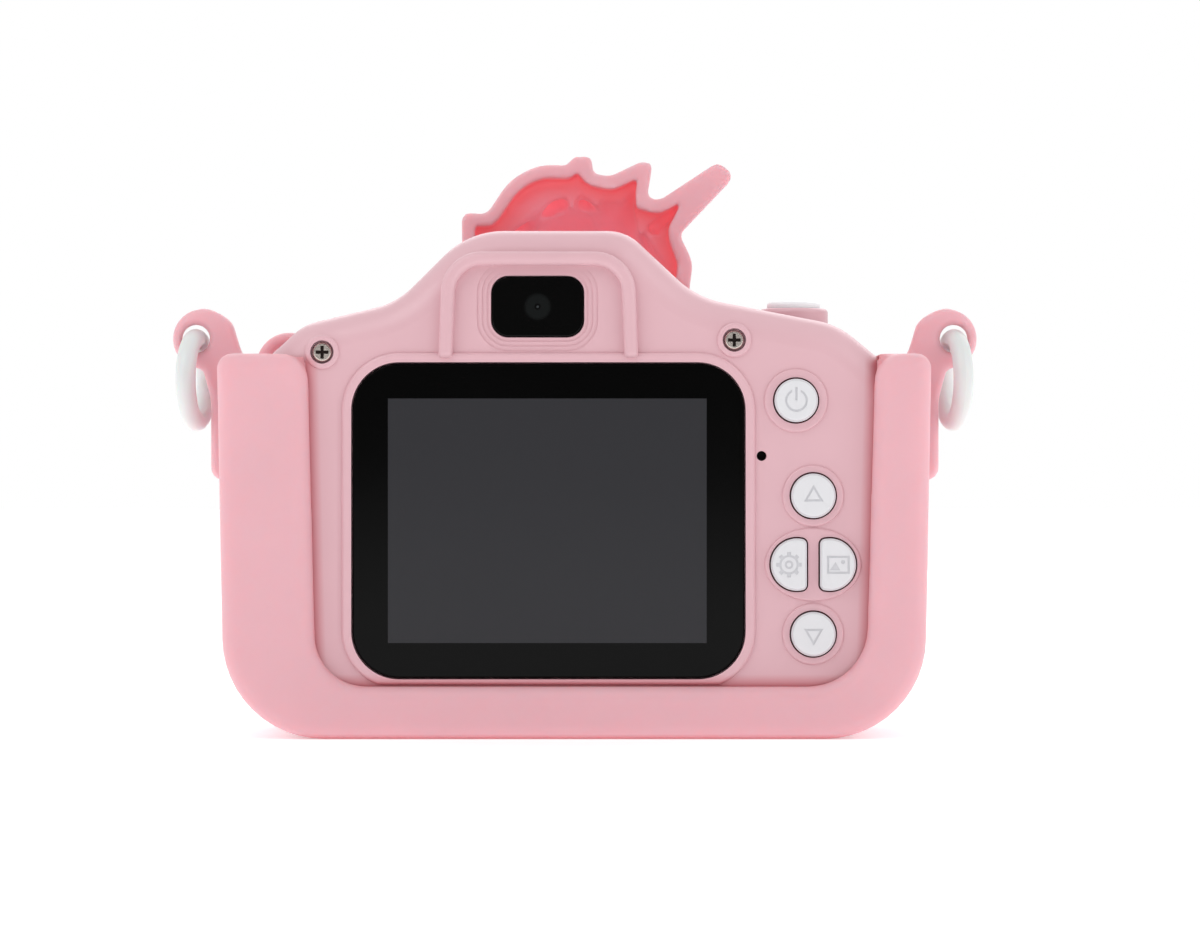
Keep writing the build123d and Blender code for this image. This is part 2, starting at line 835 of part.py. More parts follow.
def shutter_button():
    """The release: a low cap, a flange below the shell's wall and a stem."""
    under = shoulder_z - 3.4
    cap = post(shutter_x, body_mid_y, under, shutter_cap, shutter_cap_top - under)
    cap = fillet(cap.edges().group_by(Axis.Z)[-1], 0.5)
    flange = post(shutter_x, body_mid_y, under - 0.8, shutter_cap + 2.4, 0.8)
    stem = post(shutter_x, body_mid_y, shutter_board_z + 3.2, 2.4, under - shutter_board_z - 3.2)
    return cap + flange + stem


def shutter_switch():
    body = block(
        shutter_x - 2.0, shutter_x + 2.0, body_mid_y - 2.0, body_mid_y + 2.0,
        shutter_board_z + 0.8, shutter_board_z + 2.4,
    )
    return body - post(shutter_x, body_mid_y, shutter_board_z + 1.1, 2.0, 3)


def shutter_stem():
    low = shutter_board_z + 2.4 - 0.3
    return post(shutter_x, body_mid_y, low, 1.6, shutter_board_z + 3.2 - low)


def shutter_board():
    """The little board under the release, held at the seam by the two shells' ribs."""
    return block(
        shutter_x - 5, shutter_x + 5, body_mid_y - 3.2, body_mid_y + 5.0,
        shutter_board_z, shutter_board_z + 0.8,
    )


# ---- Boards, battery, sound and sockets ---------------------------------------------------------
board_top_z = side_top_z + 0.6
board_low_z = body_base_z + shell_wall + 0.5
shutter_board_z = shoulder_z - 9.0


def main_board():
    width = 2 * (half_width - side_taper - shell_wall - 0.6)
    middle = (board_top_z + board_low_z) / 2
    sheet = Pos(0, middle) * RectangleRounded(width, board_top_z - board_low_z, base_corner - shell_wall)
    for x, z in screw_places:
        sheet -= disc(x, z, screw_boss + 1.4)
    for x, z in board_screw_places:
        sheet -= disc(x, z, 1.6)
    return prism(sheet, board_rear_y, board_front_y)


def board_chips():
    """The processor, its memory and two smaller packages."""
    places = [
        (26.5, 27.0, 8.0, 8.0),
        (35.0, 27.5, 5.0, 6.0),
        (27.5, 37.5, 4.0, 3.0),
        (36.0, 21.0, 4.0, 4.0),
    ]
    chips = []
    for x, z, width, height in places:
        chips.append(prism(Pos(x, z) * Rectangle(width, height), board_front_y, board_front_y + 0.9))
    return chips


def battery_cell():
    cell = block(
        battery_x - battery_width / 2, battery_x + battery_width / 2, battery_rear_y, battery_front_y,
        battery_z - battery_height / 2, battery_z + battery_height / 2,
    )
    return fillet(cell.edges().filter_by(Axis.Z), 1.6)


def battery_pad():
    middle = Pos(battery_x + 1, battery_z + 4) * Rectangle(battery_width - 10, battery_height - 12)
    return prism(middle, board_front_y, battery_rear_y)


def lead_tube(points, radius):
    """A round lead along straight runs joined by arcs."""
    path = FilletPolyline(*points, radius=radius)
    start = Plane(origin=path @ 0, z_dir=path % 0)
    return sweep(start * Circle(lead / 2), path=path.edges())


def battery_leads():
    """Two leads from the cell's end to the plug on the main board."""
    end_x = battery_x + battery_width / 2
    tubes = []
    for z in (battery_z - 1.2, battery_z + 1.2):
        y = battery_rear_y + 3
        points = [
            (end_x, y, z + 8.0),
            (end_x + 2.8, y, z + 8.0),
            (end_x + 5.7, y - 3.4, z + 11.0),
            (end_x + 8.5, y - 3.4, z + 11.0),
        ]
        tubes.append(lead_tube(points, 1.6))
    return tubes


def battery_plug():
    end_x = battery_x + battery_width / 2 + 8.5
    y = battery_rear_y - 0.4
    return block(end_x, end_x + 4.0, board_front_y, y + 1.6, battery_z + 8.4, battery_z + 13.6)


def usb_socket():
    y0 = board_front_y
    z0 = board_low_z - 0.3
    shell = block(usb_x - usb_width / 2, usb_x + usb_width / 2, y0, y0 + usb_height, z0, z0 + usb_depth)
    room = block(
        usb_x - usb_width / 2 + 0.35, usb_x + usb_width / 2 - 0.35, y0 + 0.35, y0 + usb_height - 0.35,
        z0 - 1, z0 + usb_depth - 0.6,
    )
    tongue = block(usb_x - 2.4, usb_x + 2.4, y0 + 1.1, y0 + 1.6, z0 + 0.5, z0 + usb_depth - 0.4)
    return shell - room + tongue


def card_socket():
    """A flat metal box on the board, open at its lower end."""
    y0 = board_front_y
    half = card_width / 2 + 0.9
    shell = block(card_x - half, card_x + half, y0, y0 + 2.0, board_low_z, board_low_z + 15.4)
    room = block(
        card_x - card_width / 2 - 0.2, card_x + card_width / 2 + 0.2, y0 + 0.4, y0 + 1.6,
        board_low_z - 1, board_low_z + 15.0,
    )
    return shell - room


def memory_card():
    low_z = body_base_z
    y = board_front_y + 1.0
    card = block(
        card_x - card_width / 2, card_x + card_width / 2, y - card_thickness / 2, y + card_thickness / 2,
        low_z, low_z + card_length,
    )
    notch = block(card_x + card_width / 2 - 1.6, card_x + 10, y - 2, y + 2, low_z + 9, low_z + 40)
    return card - notch


def speaker():
    """A small round loudspeaker against the front shell."""
    rear_y = inside_front_y - speaker_thickness
    can = prism(disc(speaker_x, speaker_z, speaker_size), rear_y, inside_front_y)
    can = fillet(rear_edges(can), 0.8)
    mouth = prism(disc(speaker_x, speaker_z, speaker_size - 4), inside_front_y - 0.8, inside_front_y + 1)
    return can - mouth


def speaker_leads():
    rear_y = inside_front_y - speaker_thickness
    tubes = []
    for x in (speaker_x - 1.5, speaker_x + 1.5):
        points = [
            (x, rear_y, speaker_z + 3),
            (x, rear_y - 3.0, speaker_z + 3),
            (x, rear_y - 4.5, speaker_z + 6.5),
            (x, board_front_y, speaker_z + 6.5),
        ]
        tubes.append(lead_tube(points, 1.5))
    return tubes


def microphone():
    capsule = prism(disc(mic_x, mic_z, 2.6), inside_rear_y + 0.3, inside_rear_y + 2.3)
    legs = prism(Pos(mic_x, mic_z) * Rectangle(1.8, 0.6), inside_rear_y + 2.3, board_rear_y)
    return capsule + legs


# ---- Lens ------------------------------------------------------------------------------------
ring_front_y = head_front_y - 1.4


def front_lens_ring():
    """The trim ring in the head's cheek, with a spigot into the front shell."""
    ring = prism(disc(lens_x, lens_z, lens_ring_outer), body_front_y, ring_front_y)
    ring = fillet(front_edges(ring), 0.9)
    spigot = prism(disc(lens_x, lens_z, lens_spigot), inside_front_y, body_front_y)
    bore = prism(disc(lens_x, lens_z, lens_spigot - 2.4), inside_front_y - 1, ring_front_y)
    seat_y = ring_front_y - lens_ring_back - lens_cover_thickness
    seat = prism(disc(lens_x, lens_z, lens_ring_inner), seat_y, ring_front_y + 1)
    return ring + spigot - bore - seat


def front_lens_cover():
    back = ring_front_y - lens_ring_back - lens_cover_thickness
    pane = prism(disc(lens_x, lens_z, lens_ring_inner - 0.2), back, back + lens_cover_thickness)
    return fillet(front_edges(pane), 0.2)


def lens_barrel():
    """The stepped black tube behind the cover."""
    front = ring_front_y - lens_ring_back - lens_cover_thickness - 0.8
    rear = battery_front_y + 2.4
    tube = prism(disc(lens_x, lens_z, lens_barrel_outer), rear, front)
    foot = prism(Pos(lens_x, lens_z) * RectangleRounded(14.5, 14.5, 1.5), rear, rear + 2.0)
    bore = prism(disc(lens_x, lens_z, 6.2), rear - 1, front + 1)
    for step in range(3):
        bore += prism(disc(lens_x, lens_z, 7.0 + step), front - 3.0 + step, front + 1)
    return tube + foot - bore


def lens_glass():
    front = ring_front_y - lens_ring_back - lens_cover_thickness - 4.2
    glass = prism(disc(lens_x, lens_z, 6.0), front - 1.4, front)
    return fillet(front_edges(glass), 0.6)


def sensor_board():
    rear = battery_front_y + 0.8
    board = prism(Pos(lens_x, lens_z) * RectangleRounded(15.5, 15.5, 1.0), rear, rear + 1.0)
    chip = prism(Pos(lens_x, lens_z) * Rectangle(5.0, 4.4), rear + 1.0, rear + 1.6)
    return board + chip


def flash_led():
    """A tiny lamp on its post beside the barrel, behind the same cover."""
    back = ring_front_y - lens_ring_back - lens_cover_thickness
    x = lens_x + 5.6
    z = lens_z + 4.4
    stalk = prism(disc(x, z, 1.6), battery_front_y + 4.6, back - 1.4)
    bulb = prism(disc(x, z, 2.6), back - 1.4, back - 0.4)
    return stalk + fillet(front_edges(bulb), 0.4)


# ---- Fasteners and straps ------------------------------------------------------------------------
def cross_recess(x, z, rear_y, size):
    arms = Rectangle(size, size * 0.26) + Rectangle(size * 0.26, size)
    return prism(Pos(x, z) * arms, rear_y - 1, rear_y + size * 0.3)


def shell_screws():
    """Four pan-head screws from the back into the front shell's posts."""
    screws = []
    for x, z in screw_places:
        seat = body_rear_y + screw_recess_depth
        head = prism(disc(x, z, screw_head), seat - screw_head_height, seat)
        head = fillet(rear_edges(head), 0.25)
        shank = prism(disc(x, z, screw_shank), seat, seat + screw_length)
        screws.append(head + shank - cross_recess(x, z, seat - screw_head_height, screw_head * 0.66))
    return screws


def board_screws():
    screws = []
    for x, z in board_screw_places:
        head = prism(disc(x, z, 2.4), board_front_y, board_front_y + 0.8)
        shank = prism(disc(x, z, 1.0), board_front_y - 3.2, board_front_y)
        screws.append(head + shank)
    return screws


def strap_ring(side):
    """A plastic ring that hangs in its lug, nearly edge-on, its rear side turned outward."""
    radius = (ring_outer - ring_wire) / 2
    centre = (side * lug_hole_x, body_mid_y, lug_hole_z - radius)
    return Pos(*centre) * (Rot(0, 0, side * ring_turn) * Rot(0, 90, 0) * Torus(radius, ring_wire / 2))


# ---- Build and write every piece ---------------------------------------------------------------------
os.makedirs("parts", exist_ok=True)

case = hollow_case()
save("silicone_sleeve", silicone_sleeve())
save("rear_shell", rear_shell(case))
save("front_shell", front_shell(case))
save("screen_window", screen_window())
save("window_gasket", window_gasket())
save("lcd_panel", lcd_slab(tape_front_y, lcd_front_y, 0))
save("lcd_backlight", lcd_slab(lcd_front_y, backlight_front_y, 0))
save("lcd_frame", lcd_frame())
save("lcd_flex", lcd_flex())
save("selfie_window", selfie_window())
save("selfie_camera", selfie_module())
save("selfie_lens", selfie_lens())
save("selfie_flex", selfie_flex())
for name in button_centres:
    save(name, back_button(name))
    save(name.replace("button", "switch_stem"), switch_stem(name))
save("key_switches", *key_switches())
save("shutter_button", shutter_button())
save("shutter_collar", shutter_collar_ring())
save("shutter_switch_stem", shutter_stem())
save("shutter_switch", shutter_switch())
save("shutter_board", shutter_board())
save("main_board", main_board())
save("board_chips", *board_chips())
save("battery_cell", battery_cell())
save("battery_pad", battery_pad())
save("battery_leads", *battery_leads())
save("battery_plug", battery_plug())
save("usb_socket", usb_socket())
save("card_socket", card_socket())
save("memory_card", memory_card())
save("speaker", speaker())
save("speaker_leads", *speaker_leads())
save("microphone", microphone())
save("front_lens_ring", front_lens_ring())
save("front_lens_cover", front_lens_cover())
save("lens_barrel", lens_barrel())
save("lens_glass", lens_glass())
save("sensor_board", sensor_board())
save("flash_led", flash_led())
save("shell_screws", *shell_screws())
save("board_screws", *board_screws())
save("strap_ring_left", strap_ring(-1))
save("strap_ring_right", strap_ring(1))
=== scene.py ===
"""Looks for the children's camera: its silicone sleeve, materials, light and view.

Lengths in the shape code are millimetres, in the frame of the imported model, and they
are turned into metres when a mesh is made.
"""
import json
import math

import bpy
import numpy as np
import openvdb
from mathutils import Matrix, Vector


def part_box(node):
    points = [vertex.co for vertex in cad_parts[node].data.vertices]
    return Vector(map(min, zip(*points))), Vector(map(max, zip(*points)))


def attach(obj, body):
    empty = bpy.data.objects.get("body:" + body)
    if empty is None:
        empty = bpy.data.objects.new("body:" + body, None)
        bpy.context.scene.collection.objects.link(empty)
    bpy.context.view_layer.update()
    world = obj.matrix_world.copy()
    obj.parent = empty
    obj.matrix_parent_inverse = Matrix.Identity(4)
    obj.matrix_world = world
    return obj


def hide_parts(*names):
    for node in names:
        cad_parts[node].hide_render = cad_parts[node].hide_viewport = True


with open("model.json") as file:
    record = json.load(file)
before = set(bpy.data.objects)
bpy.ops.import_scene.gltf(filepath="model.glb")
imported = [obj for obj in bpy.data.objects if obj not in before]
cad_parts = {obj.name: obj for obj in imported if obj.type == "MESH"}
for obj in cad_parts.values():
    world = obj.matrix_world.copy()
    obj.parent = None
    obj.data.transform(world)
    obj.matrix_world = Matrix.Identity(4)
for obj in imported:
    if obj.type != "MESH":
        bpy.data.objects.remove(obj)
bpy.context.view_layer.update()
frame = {"nodes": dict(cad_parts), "record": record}
MM = 0.001


def box_mm(node):
    low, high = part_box(node)
    return np.array(low) / MM, np.array(high) / MM


def centre_mm(node):
    low, high = box_mm(node)
    return (low + high) / 2


# ---- Places read from the frame --------------------------------------------------------
sleeve_low, sleeve_high = box_mm("silicone_sleeve")
shell_low, shell_high = box_mm("front_shell")
REAR_Y = sleeve_low[1]
FRONT_Y = sleeve_high[1]
BODY_FRONT_Y = shell_high[1]
HALF_WIDTH = shell_high[0]
HUMP_Z = shell_high[2]
BODY_BASE_Z = shell_low[2]
LENS = centre_mm("front_lens_ring")
LENS_RING_R = (box_mm("front_lens_ring")[1][0] - box_mm("front_lens_ring")[0][0]) / 2
RING = centre_mm("strap_ring_right")
RING_HIGH = box_mm("strap_ring_right")[1]

# ---- Sizes of the sleeve -----------------------------------------------------------------
WALL = 2.6
FIT = 0.15
TAPER = 0.9
CORNER = 10.4
OUTER_HALF = HALF_WIDTH + FIT + WALL
# The tray round the camera, the lip that holds it from behind, and the web under the lip.
LIP = 2.2
LIP_ROUND = 1.7
LIP_LOW_Z = 6.75
LIP_CORNER = 3.5
ARM_TOP_Z = 49.3
ARM_ROUND = 1.9
TRAY_ROUND = 1.5
WEB_DEPTH = 6.0
WEB_ROUND = 0.8
ROOM_ROUND = 0.6
BODY_REAR_Y = REAR_Y + LIP + FIT
# The lip's inner corners (x, z): left arm's top and foot, right arm's foot and top.
LIP_INSIDE = [
    (-OUTER_HALF + 11.6, ARM_TOP_Z),
    (-OUTER_HALF + 12.7, LIP_LOW_Z),
    (OUTER_HALF - 8.4, LIP_LOW_Z),
    (OUTER_HALF - 7.2, ARM_TOP_Z),
]
# The front panel.
PANEL = 2.4
PANEL_TOP_Z = 49.8
PANEL_CORNER = 6.0
PANEL_ROUND = 2.0
PANEL_IN_Y = BODY_FRONT_Y + FIT
PANEL_OUT_Y = PANEL_IN_Y + PANEL
# The strap lugs, and the loop on the left shoulder.
RING_WIRE = 2.6
LUG_END_R = 3.9
LUG_END_X = OUTER_HALF + 3.1
LUG_HOLE_R = 1.85
LUG_HOLE_Z = RING_HIGH[2] - RING_WIRE / 2
LUG_THICKNESS = 2.8
LUG_ROUND = 0.9
LOOP_X = -OUTER_HALF + 7.2
LOOP_Z = PANEL_TOP_Z - 1.4
LOOP_R = 4.5
LOOP_HOLE_R = 2.8
LOOP_ROUND = 0.7
# The hollow head: its rim's width and depth, its skin, and the boss round the lens.
RIM = 1.6
SKIN = 1.6
BRIM = 5.4
BRIM_ROUND = 2.2
FACE_ROUND = 7.5
LENS_FIT = 0.2
LENS_EDGE = 1.2
LENS_BOSS = 2.2
# Windows in the base, and sound holes in the front.
USB_BORDER = 0.55
CARD_BORDER = 0.1
SLOT_ROUND = 0.4
SOUND_HOLE_R = 0.9
SOUND_RING_R = 3.4
SOUND_RING_HOLES = 6
# How far the painted shade, and the painted glow at the hollow's edge, reach.
CREASE_SHADE_REACH = 1.5
FLOOR_SHADE = 0.7
LIP_SHADE_REACH = 1.5
EDGE_GLOW = 4.0


# ---- Solid shapes as distance fields ---------------------------------------------------------
def rounded_outline(corners, step=math.radians(8)):
    """Points round a closed outline of corners (x, z, radius), with arcs at the corners."""
    points = []
    count = len(corners)
    for i in range(count):
        before = np.array(corners[i - 1][:2])
        here = np.array(corners[i][:2])
        after = np.array(corners[(i + 1) % count][:2])
        radius = corners[i][2]
        back = (before - here) / np.linalg.norm(before - here)
        ahead = (after - here) / np.linalg.norm(after - here)
        half = math.acos(np.clip(back @ ahead, -1, 1)) / 2
        if radius <= 0 or half > math.radians(89.5):
            points.append(here)
            continue
        reach = radius / math.tan(half)
        middle = (back + ahead) / np.linalg.norm(back + ahead)
        centre = here + middle * radius / math.sin(half)
        start = here + back * reach - centre
        turn = math.pi - 2 * half
        if back[0] * ahead[1] - back[1] * ahead[0] > 0:
            turn = -turn
        arcs = max(2, int(abs(turn) / step) + 1)
        for k in range(arcs + 1):
            a = turn * k / arcs
            c, s = math.cos(a), math.sin(a)
            points.append(centre + np.array([c * start[0] - s * start[1], s * start[0] + c * start[1]]))
    return np.array(points)


def flat_distance(points, grid):
    """Signed distance to an outline in X and Z, negative inside, as a one-deep slab."""
    a, b = np.meshgrid(grid.x, grid.z, indexing="ij")
    best = np.full(a.shape, 1e9)
    inside = np.zeros(a.shape, bool)
    for p, q in zip(points, np.roll(points, -1, axis=0)):
        e = q - p
        length = e @ e
        if length < 1e-12:
            continue
        t = np.clip(((a - p[0]) * e[0] + (b - p[1]) * e[1]) / length, 0, 1)
        best = np.minimum(best, (a - p[0] - t * e[0]) ** 2 + (b - p[1] - t * e[1]) ** 2)
        if p[1] != q[1]:
            crosses = (p[1] > b) != (q[1] > b)
            inside ^= crosses & (a < e[0] * (b - p[1]) / e[1] + p[0])
    signed = np.where(inside, -1, 1) * np.sqrt(best)
    return signed.astype(np.float32)[:, None, :]


class Grid:
    """An even grid of points over a box, in millimetres."""

    def __init__(self, low, high, pitch):
        self.pitch = pitch
        self.low = np.array(low, float)
        size = np.ceil((np.array(high) - self.low) / pitch).astype(int) + 1
        self.x, self.y, self.z = (self.low[i] + pitch * np.arange(size[i]) for i in range(3))
        self.X = self.x.astype(np.float32)[:, None, None]
        self.Y = self.y.astype(np.float32)[None, :, None]
        self.Z = self.z.astype(np.float32)[None, None, :]

    def sample(self, field, points):
        """The field's value at points, between its grid points."""
        field = np.broadcast_to(field, (len(self.x), len(self.y), len(self.z)))
        p = (points - self.low) / self.pitch
        i = np.clip(np.floor(p).astype(int), 0, np.array(field.shape) - 2)
        f = p - i
        total = 0
        for dx in (0, 1):
            for dy in (0, 1):
                for dz in (0, 1):
                    w = np.abs(1 - dx - f[:, 0]) * np.abs(1 - dy - f[:, 1]) * np.abs(1 - dz - f[:, 2])
                    total = total + w * field[i[:, 0] + dx, i[:, 1] + dy, i[:, 2] + dz]
        return total


class Plate:
    """The same grid flattened in depth, for lines drawn on the face."""

    def __init__(self, grid):
        self.X, self.Y, self.Z = grid.X, np.zeros((1, 1, 1), np.float32), grid.Z


def round_meet(a, b, radius):
    """Both fields at once, with the edge between them rounded."""
    u = np.maximum(a + radius, 0)
    v = np.maximum(b + radius, 0)
    return np.minimum(np.maximum(a, b) + radius, 0) + np.sqrt(u * u + v * v) - radius


def prism(grid, flat, rear_y, front_y, rear_round=0.0, front_round=0.0):
    """An outline pushed from rear_y to front_y, with its two rims rounded."""
    rear = round_meet(flat, rear_y - grid.Y, rear_round)
    front = round_meet(flat, grid.Y - front_y, front_round)
    return np.maximum(rear, front)


def join(a, b, blend):
    """Either field, with a soft fillet of about blend where they meet."""
    h = np.maximum(blend - np.abs(a - b), 0) / blend
    return np.minimum(a, b) - h * h * blend / 4


def cut(a, b, blend=0.3):
    """Field a less field b, with a soft edge."""
    return -join(-a, b, blend)


def circle(grid, x, z, radius):
    return (np.sqrt((grid.X - x) ** 2 + (grid.Z - z) ** 2) - radius).astype(np.float32)


def capsule(grid, start, end, start_r, end_r):
    """A round bar between two points whose radius runs from start_r to end_r."""
    start = np.array(start, float)
    e = np.array(end, float) - start
    dx, dy, dz = grid.X - start[0], grid.Y - start[1], grid.Z - start[2]
    t = np.clip((dx * e[0] + dy * e[1] + dz * e[2]) / (e @ e), 0, 1)
    gap = np.sqrt((dx - t * e[0]) ** 2 + (dy - t * e[1]) ** 2 + (dz - t * e[2]) ** 2)
    return gap - (start_r + (end_r - start_r) * t)


def ellipsoid(grid, centre, radii):
    x = (grid.X - centre[0]) / radii[0]
    y = (grid.Y - centre[1]) / radii[1]
    z = (grid.Z - centre[2]) / radii[2]
    k0 = np.sqrt(x * x + y * y + z * z)
    k1 = np.sqrt((x / radii[0]) ** 2 + (y / radii[1]) ** 2 + (z / radii[2]) ** 2)
    return k0 * (k0 - 1) / np.maximum(k1, 1e-6)


def mesh_from_field(name, grid, field):
    """A smooth closed mesh of the field's zero surface, in metres."""
    volume = openvdb.FloatGrid()
    volume.copyFromArray(np.ascontiguousarray(np.clip(field, -3, 3), dtype=np.float32))
    points, quads = volume.convertToQuads(0.0)
    points = points * grid.pitch + grid.low
    mesh = bpy.data.meshes.new(name)
    mesh.vertices.add(len(points))
    mesh.vertices.foreach_set("co", (points * MM).astype(np.float32).ravel())
    mesh.loops.add(len(quads) * 4)
    mesh.loops.foreach_set("vertex_index", quads[:, ::-1].astype(np.int32).ravel())
    mesh.polygons.add(len(quads))
    mesh.polygons.foreach_set("loop_start", np.arange(0, len(quads) * 4, 4, dtype=np.int32))
    mesh.update(calc_edges=True)
    mesh.validate()
    mesh.polygons.foreach_set("use_smooth", np.ones(len(mesh.polygons), bool))
    piece = bpy.data.objects.new(name, mesh)
    bpy.context.scene.collection.objects.link(piece)
    print(name, len(points), "points", len(quads), "faces")
    return piece, points


def point_value(piece, name, values):
    layer = piece.data.attributes.new(name, "FLOAT", "POINT")
    layer.data.foreach_set("value", values.astype(np.float32))


# ---- Outlines -------------------------------------------------------------------------------
def body_points():
    foot = HALF_WIDTH - TAPER
    shoulder_z = HUMP_Z - 12.1
    side_z = HUMP_Z - 19.6
    return rounded_outline(
        [
            (-foot, BODY_BASE_Z, CORNER),
            (-HALF_WIDTH, side_z, 8.0),
            (-HALF_WIDTH + 8.2, shoulder_z, 7.0),
            (-22.9, shoulder_z + 2.85, 10.0),
            (-13.6, HUMP_Z, 11.0),
            (6.64, HUMP_Z, 6.0),
            (15.8, shoulder_z + 3.5, 12.0),
            (HALF_WIDTH - 9.1, shoulder_z, 10.0),
            (HALF_WIDTH, side_z, 9.0),
            (foot, BODY_BASE_Z, CORNER),
        ]
    )


def sleeve_points(top_z, top_round):
    foot = OUTER_HALF - TAPER
    return rounded_outline(
        [
            (-foot, 0, CORNER + WALL),
            (-OUTER_HALF, top_z, top_round),
            (OUTER_HALF, top_z, top_round),
            (foot, 0, CORNER + WALL),
        ]
    )


def lip_points(inner_round=LIP_CORNER):
    foot = OUTER_HALF - TAPER
    return rounded_outline(
        [
            (-foot, 0, CORNER + WALL),
            (-OUTER_HALF, ARM_TOP_Z, ARM_ROUND),
            (*LIP_INSIDE[0], inner_round),
            (*LIP_INSIDE[1], 6.5),
            (*LIP_INSIDE[2], 7.6),
            (*LIP_INSIDE[3], inner_round),
            (OUTER_HALF, ARM_TOP_Z, ARM_ROUND),
            (foot, 0, CORNER + WALL),
        ]
    )


def head_points():
    """The unicorn's profile: tuft, crest, forelock, ear and horn, then nose, chin and mane."""
    return rounded_outline(
        [
            (-15.3, 59.0, 2.0),
            (-15.4, 69.2, 1.2),
            (-12.0, 68.9, 1.6),
            (-8.9, 73.6, 8.0),
            (-4.9, 75.6, 7.0),
            (-1.3, 75.5, 0.8),
            (-0.2, 76.6, 0.7),
            (2.2, 76.7, 0.9),
            (2.5, 74.4, 0.8),
            (4.6, 74.0, 2.4),
            (8.6, 75.9, 0.9),
            (10.5, 75.9, 0.8),
            (9.6, 70.7, 1.0),
            (11.6, 71.0, 2.2),
            (19.2, 76.0, 1.3),
            (21.6, 74.0, 1.3),
            (14.1, 66.1, 1.2),
            (15.9, 62.4, 4.0),
            (15.0, 55.0, 8.0),
            (26.5, 37.0, 8.0),
            (29.5, 25.0, 6.0),
            (21.0, 13.5, 7.0),
            (6.0, 9.0, 6.0),
            (-30.0, 8.5, 6.0),
            (-33.5, 20.0, 5.0),
            (-29.5, 27.0, 3.0),
            (-34.0, 35.0, 5.0),
            (-29.0, 42.0, 3.0),
            (-30.0, 51.0, 5.0),
            (-20.0, 55.5, 4.0),
        ]
    )


def hollow_points():
    return rounded_outline(
        [
            (-15.3 + RIM, 59.0, 1.0),
            (-15.4 + RIM, 67.6, 0.7),
            (-11.3, 67.4, 0.8),
            (-7.9, 72.3, 6.0),
            (-4.7, 75.6 - RIM, 5.0),
            (-0.8, 75.4 - RIM, 0.5),
            (-0.1, 76.4 - RIM, 0.1),
            (1.3, 75.0 - RIM, 0.8),
            (2.6, 72.8, 0.8),
            (5.0, 72.3, 0.9),
            (8.8, 74.0, 0.4),
            (8.1, 69.6, 0.6),
            (11.3, 69.2, 0.5),
            (14.4, 70.9, 0.2),
            (12.6, 66.9, 0.8),
            (15.4 - RIM, 62.4, 2.5),
            (14.9 - RIM, 55.0, 6.0),
            (-8.0, 50.0, 6.0),
        ]
    )


def cheek_points():
    return rounded_outline(
        [
            (-21.5, 11.0, 10.0),
            (-22.5, 44.0, 10.0),
            (-12.5, 65.5, 9.0),
            (-2.0, 73.5, 8.0),
            (8.5, 71.5, 6.0),
            (13.5, 62.0, 8.0),
            (15.0, 52.0, 12.0),
            (25.0, 37.0, 8.0),
            (27.5, 25.0, 6.0),
            (19.0, 15.0, 8.0),
            (6.0, 11.0, 10.0),
        ]
    )


def lug_points():
    return rounded_outline(
        [
            (OUTER_HALF - 2.4, 33.1, 0),
            (OUTER_HALF + 2.0, 33.1, 1.6),
            (OUTER_HALF + 2.0, 43.6, 4.0),
            (OUTER_HALF + 3.3, 48.6, 2.0),
            (LUG_END_X + LUG_END_R - 0.6, 50.4, 0.3),
            (LUG_END_X, LUG_HOLE_Z + LUG_END_R - 0.2, 0.5),
            (OUTER_HALF - 0.6, 54.0, 2.0),
            (OUTER_HALF - 2.4, 48.6, 0),
        ]
    )


# ---- Silicone sleeve ------------------------------------------------------------------------------
# Each lock of the mane runs through three places (x, z) and narrows from root to tip.
MANE_LOCKS = [
    ((-12.5, 61.5), (-21.5, 56.0), (-27.5, 50.0), 4.6),
    ((-16.0, 54.5), (-25.5, 47.5), (-31.0, 38.0), 5.2),
    ((-18.5, 44.0), (-26.5, 37.5), (-31.5, 23.5), 5.0),
    ((-19.5, 33.5), (-25.5, 25.5), (-30.0, 14.0), 4.8),
    ((-19.5, 22.0), (-22.5, 15.0), (-24.0, 10.5), 4.2),
]
CREST_LOCKS = [
    ((-3.0, 65.0), (-8.5, 67.5), (-13.2, 67.6), 3.6),
    ((0.5, 67.0), (-3.5, 71.0), (-8.0, 72.6), 4.2),
    ((2.5, 66.5), (1.6, 72.0), (0.9, 75.4), 3.4),
    ((-2.5, 62.0), (2.4, 66.6), (6.8, 62.5), 2.6),
]
# Folds of the mane that stand into the hollow, as runs of points (x, z).
FOLDS = [
    [(-0.1, 74.3), (-0.6, 69.9)],
    [(1.4, 73.4), (2.2, 71.4), (3.2, 69.6)],
    [(-5.6, 66.8), (-2.9, 69.2), (-0.4, 69.9), (2.1, 69.2), (3.0, 67.6)],
    [(-8.6, 69.6), (-5.2, 71.6), (-2.4, 72.2)],
    [(9.0, 68.6), (8.4, 66.0), (9.2, 63.0)],
]
FOLD_HEIGHT = 0.75
FOLD_WIDTH = 0.6
# The face: places are (x, z), or (x, y, z) where they have a depth.
CROWN = (1.0, 38.0)
CROWN_REACH = 35.0
CROWN_DROP = 3.2
CREST_FROM_Z = 54.0
CREST_RISE = 20.0
CREST_DROP = 4.0
MUZZLE = (20.5, 14.0, 23.5)
MUZZLE_RADII = (8.8, 7.2, 8.2)
HORN_ROOT = (10.8, 11.0, 67.3)
HORN_TIP = (20.1, 9.0, 74.7)
EAR_ROOT = (5.8, PANEL_IN_Y + 6.0, 66.5)
EAR_TIP = (9.0, PANEL_IN_Y + 2.6, 74.3)
EYE = (8.2, 52.1)
EYE_R = 3.9
EYE_TOP_Z = 50.5
LASH = 2.0
LASH_TURNS = (-52, -90, -128)
NOSTRIL = (25.2, 27.0)
NOSTRIL_RADII = (1.5, 1.0)
SMILE = (19.5, 30.0)
SMILE_R = 11.0
SMILE_TOP_Z = 22.4
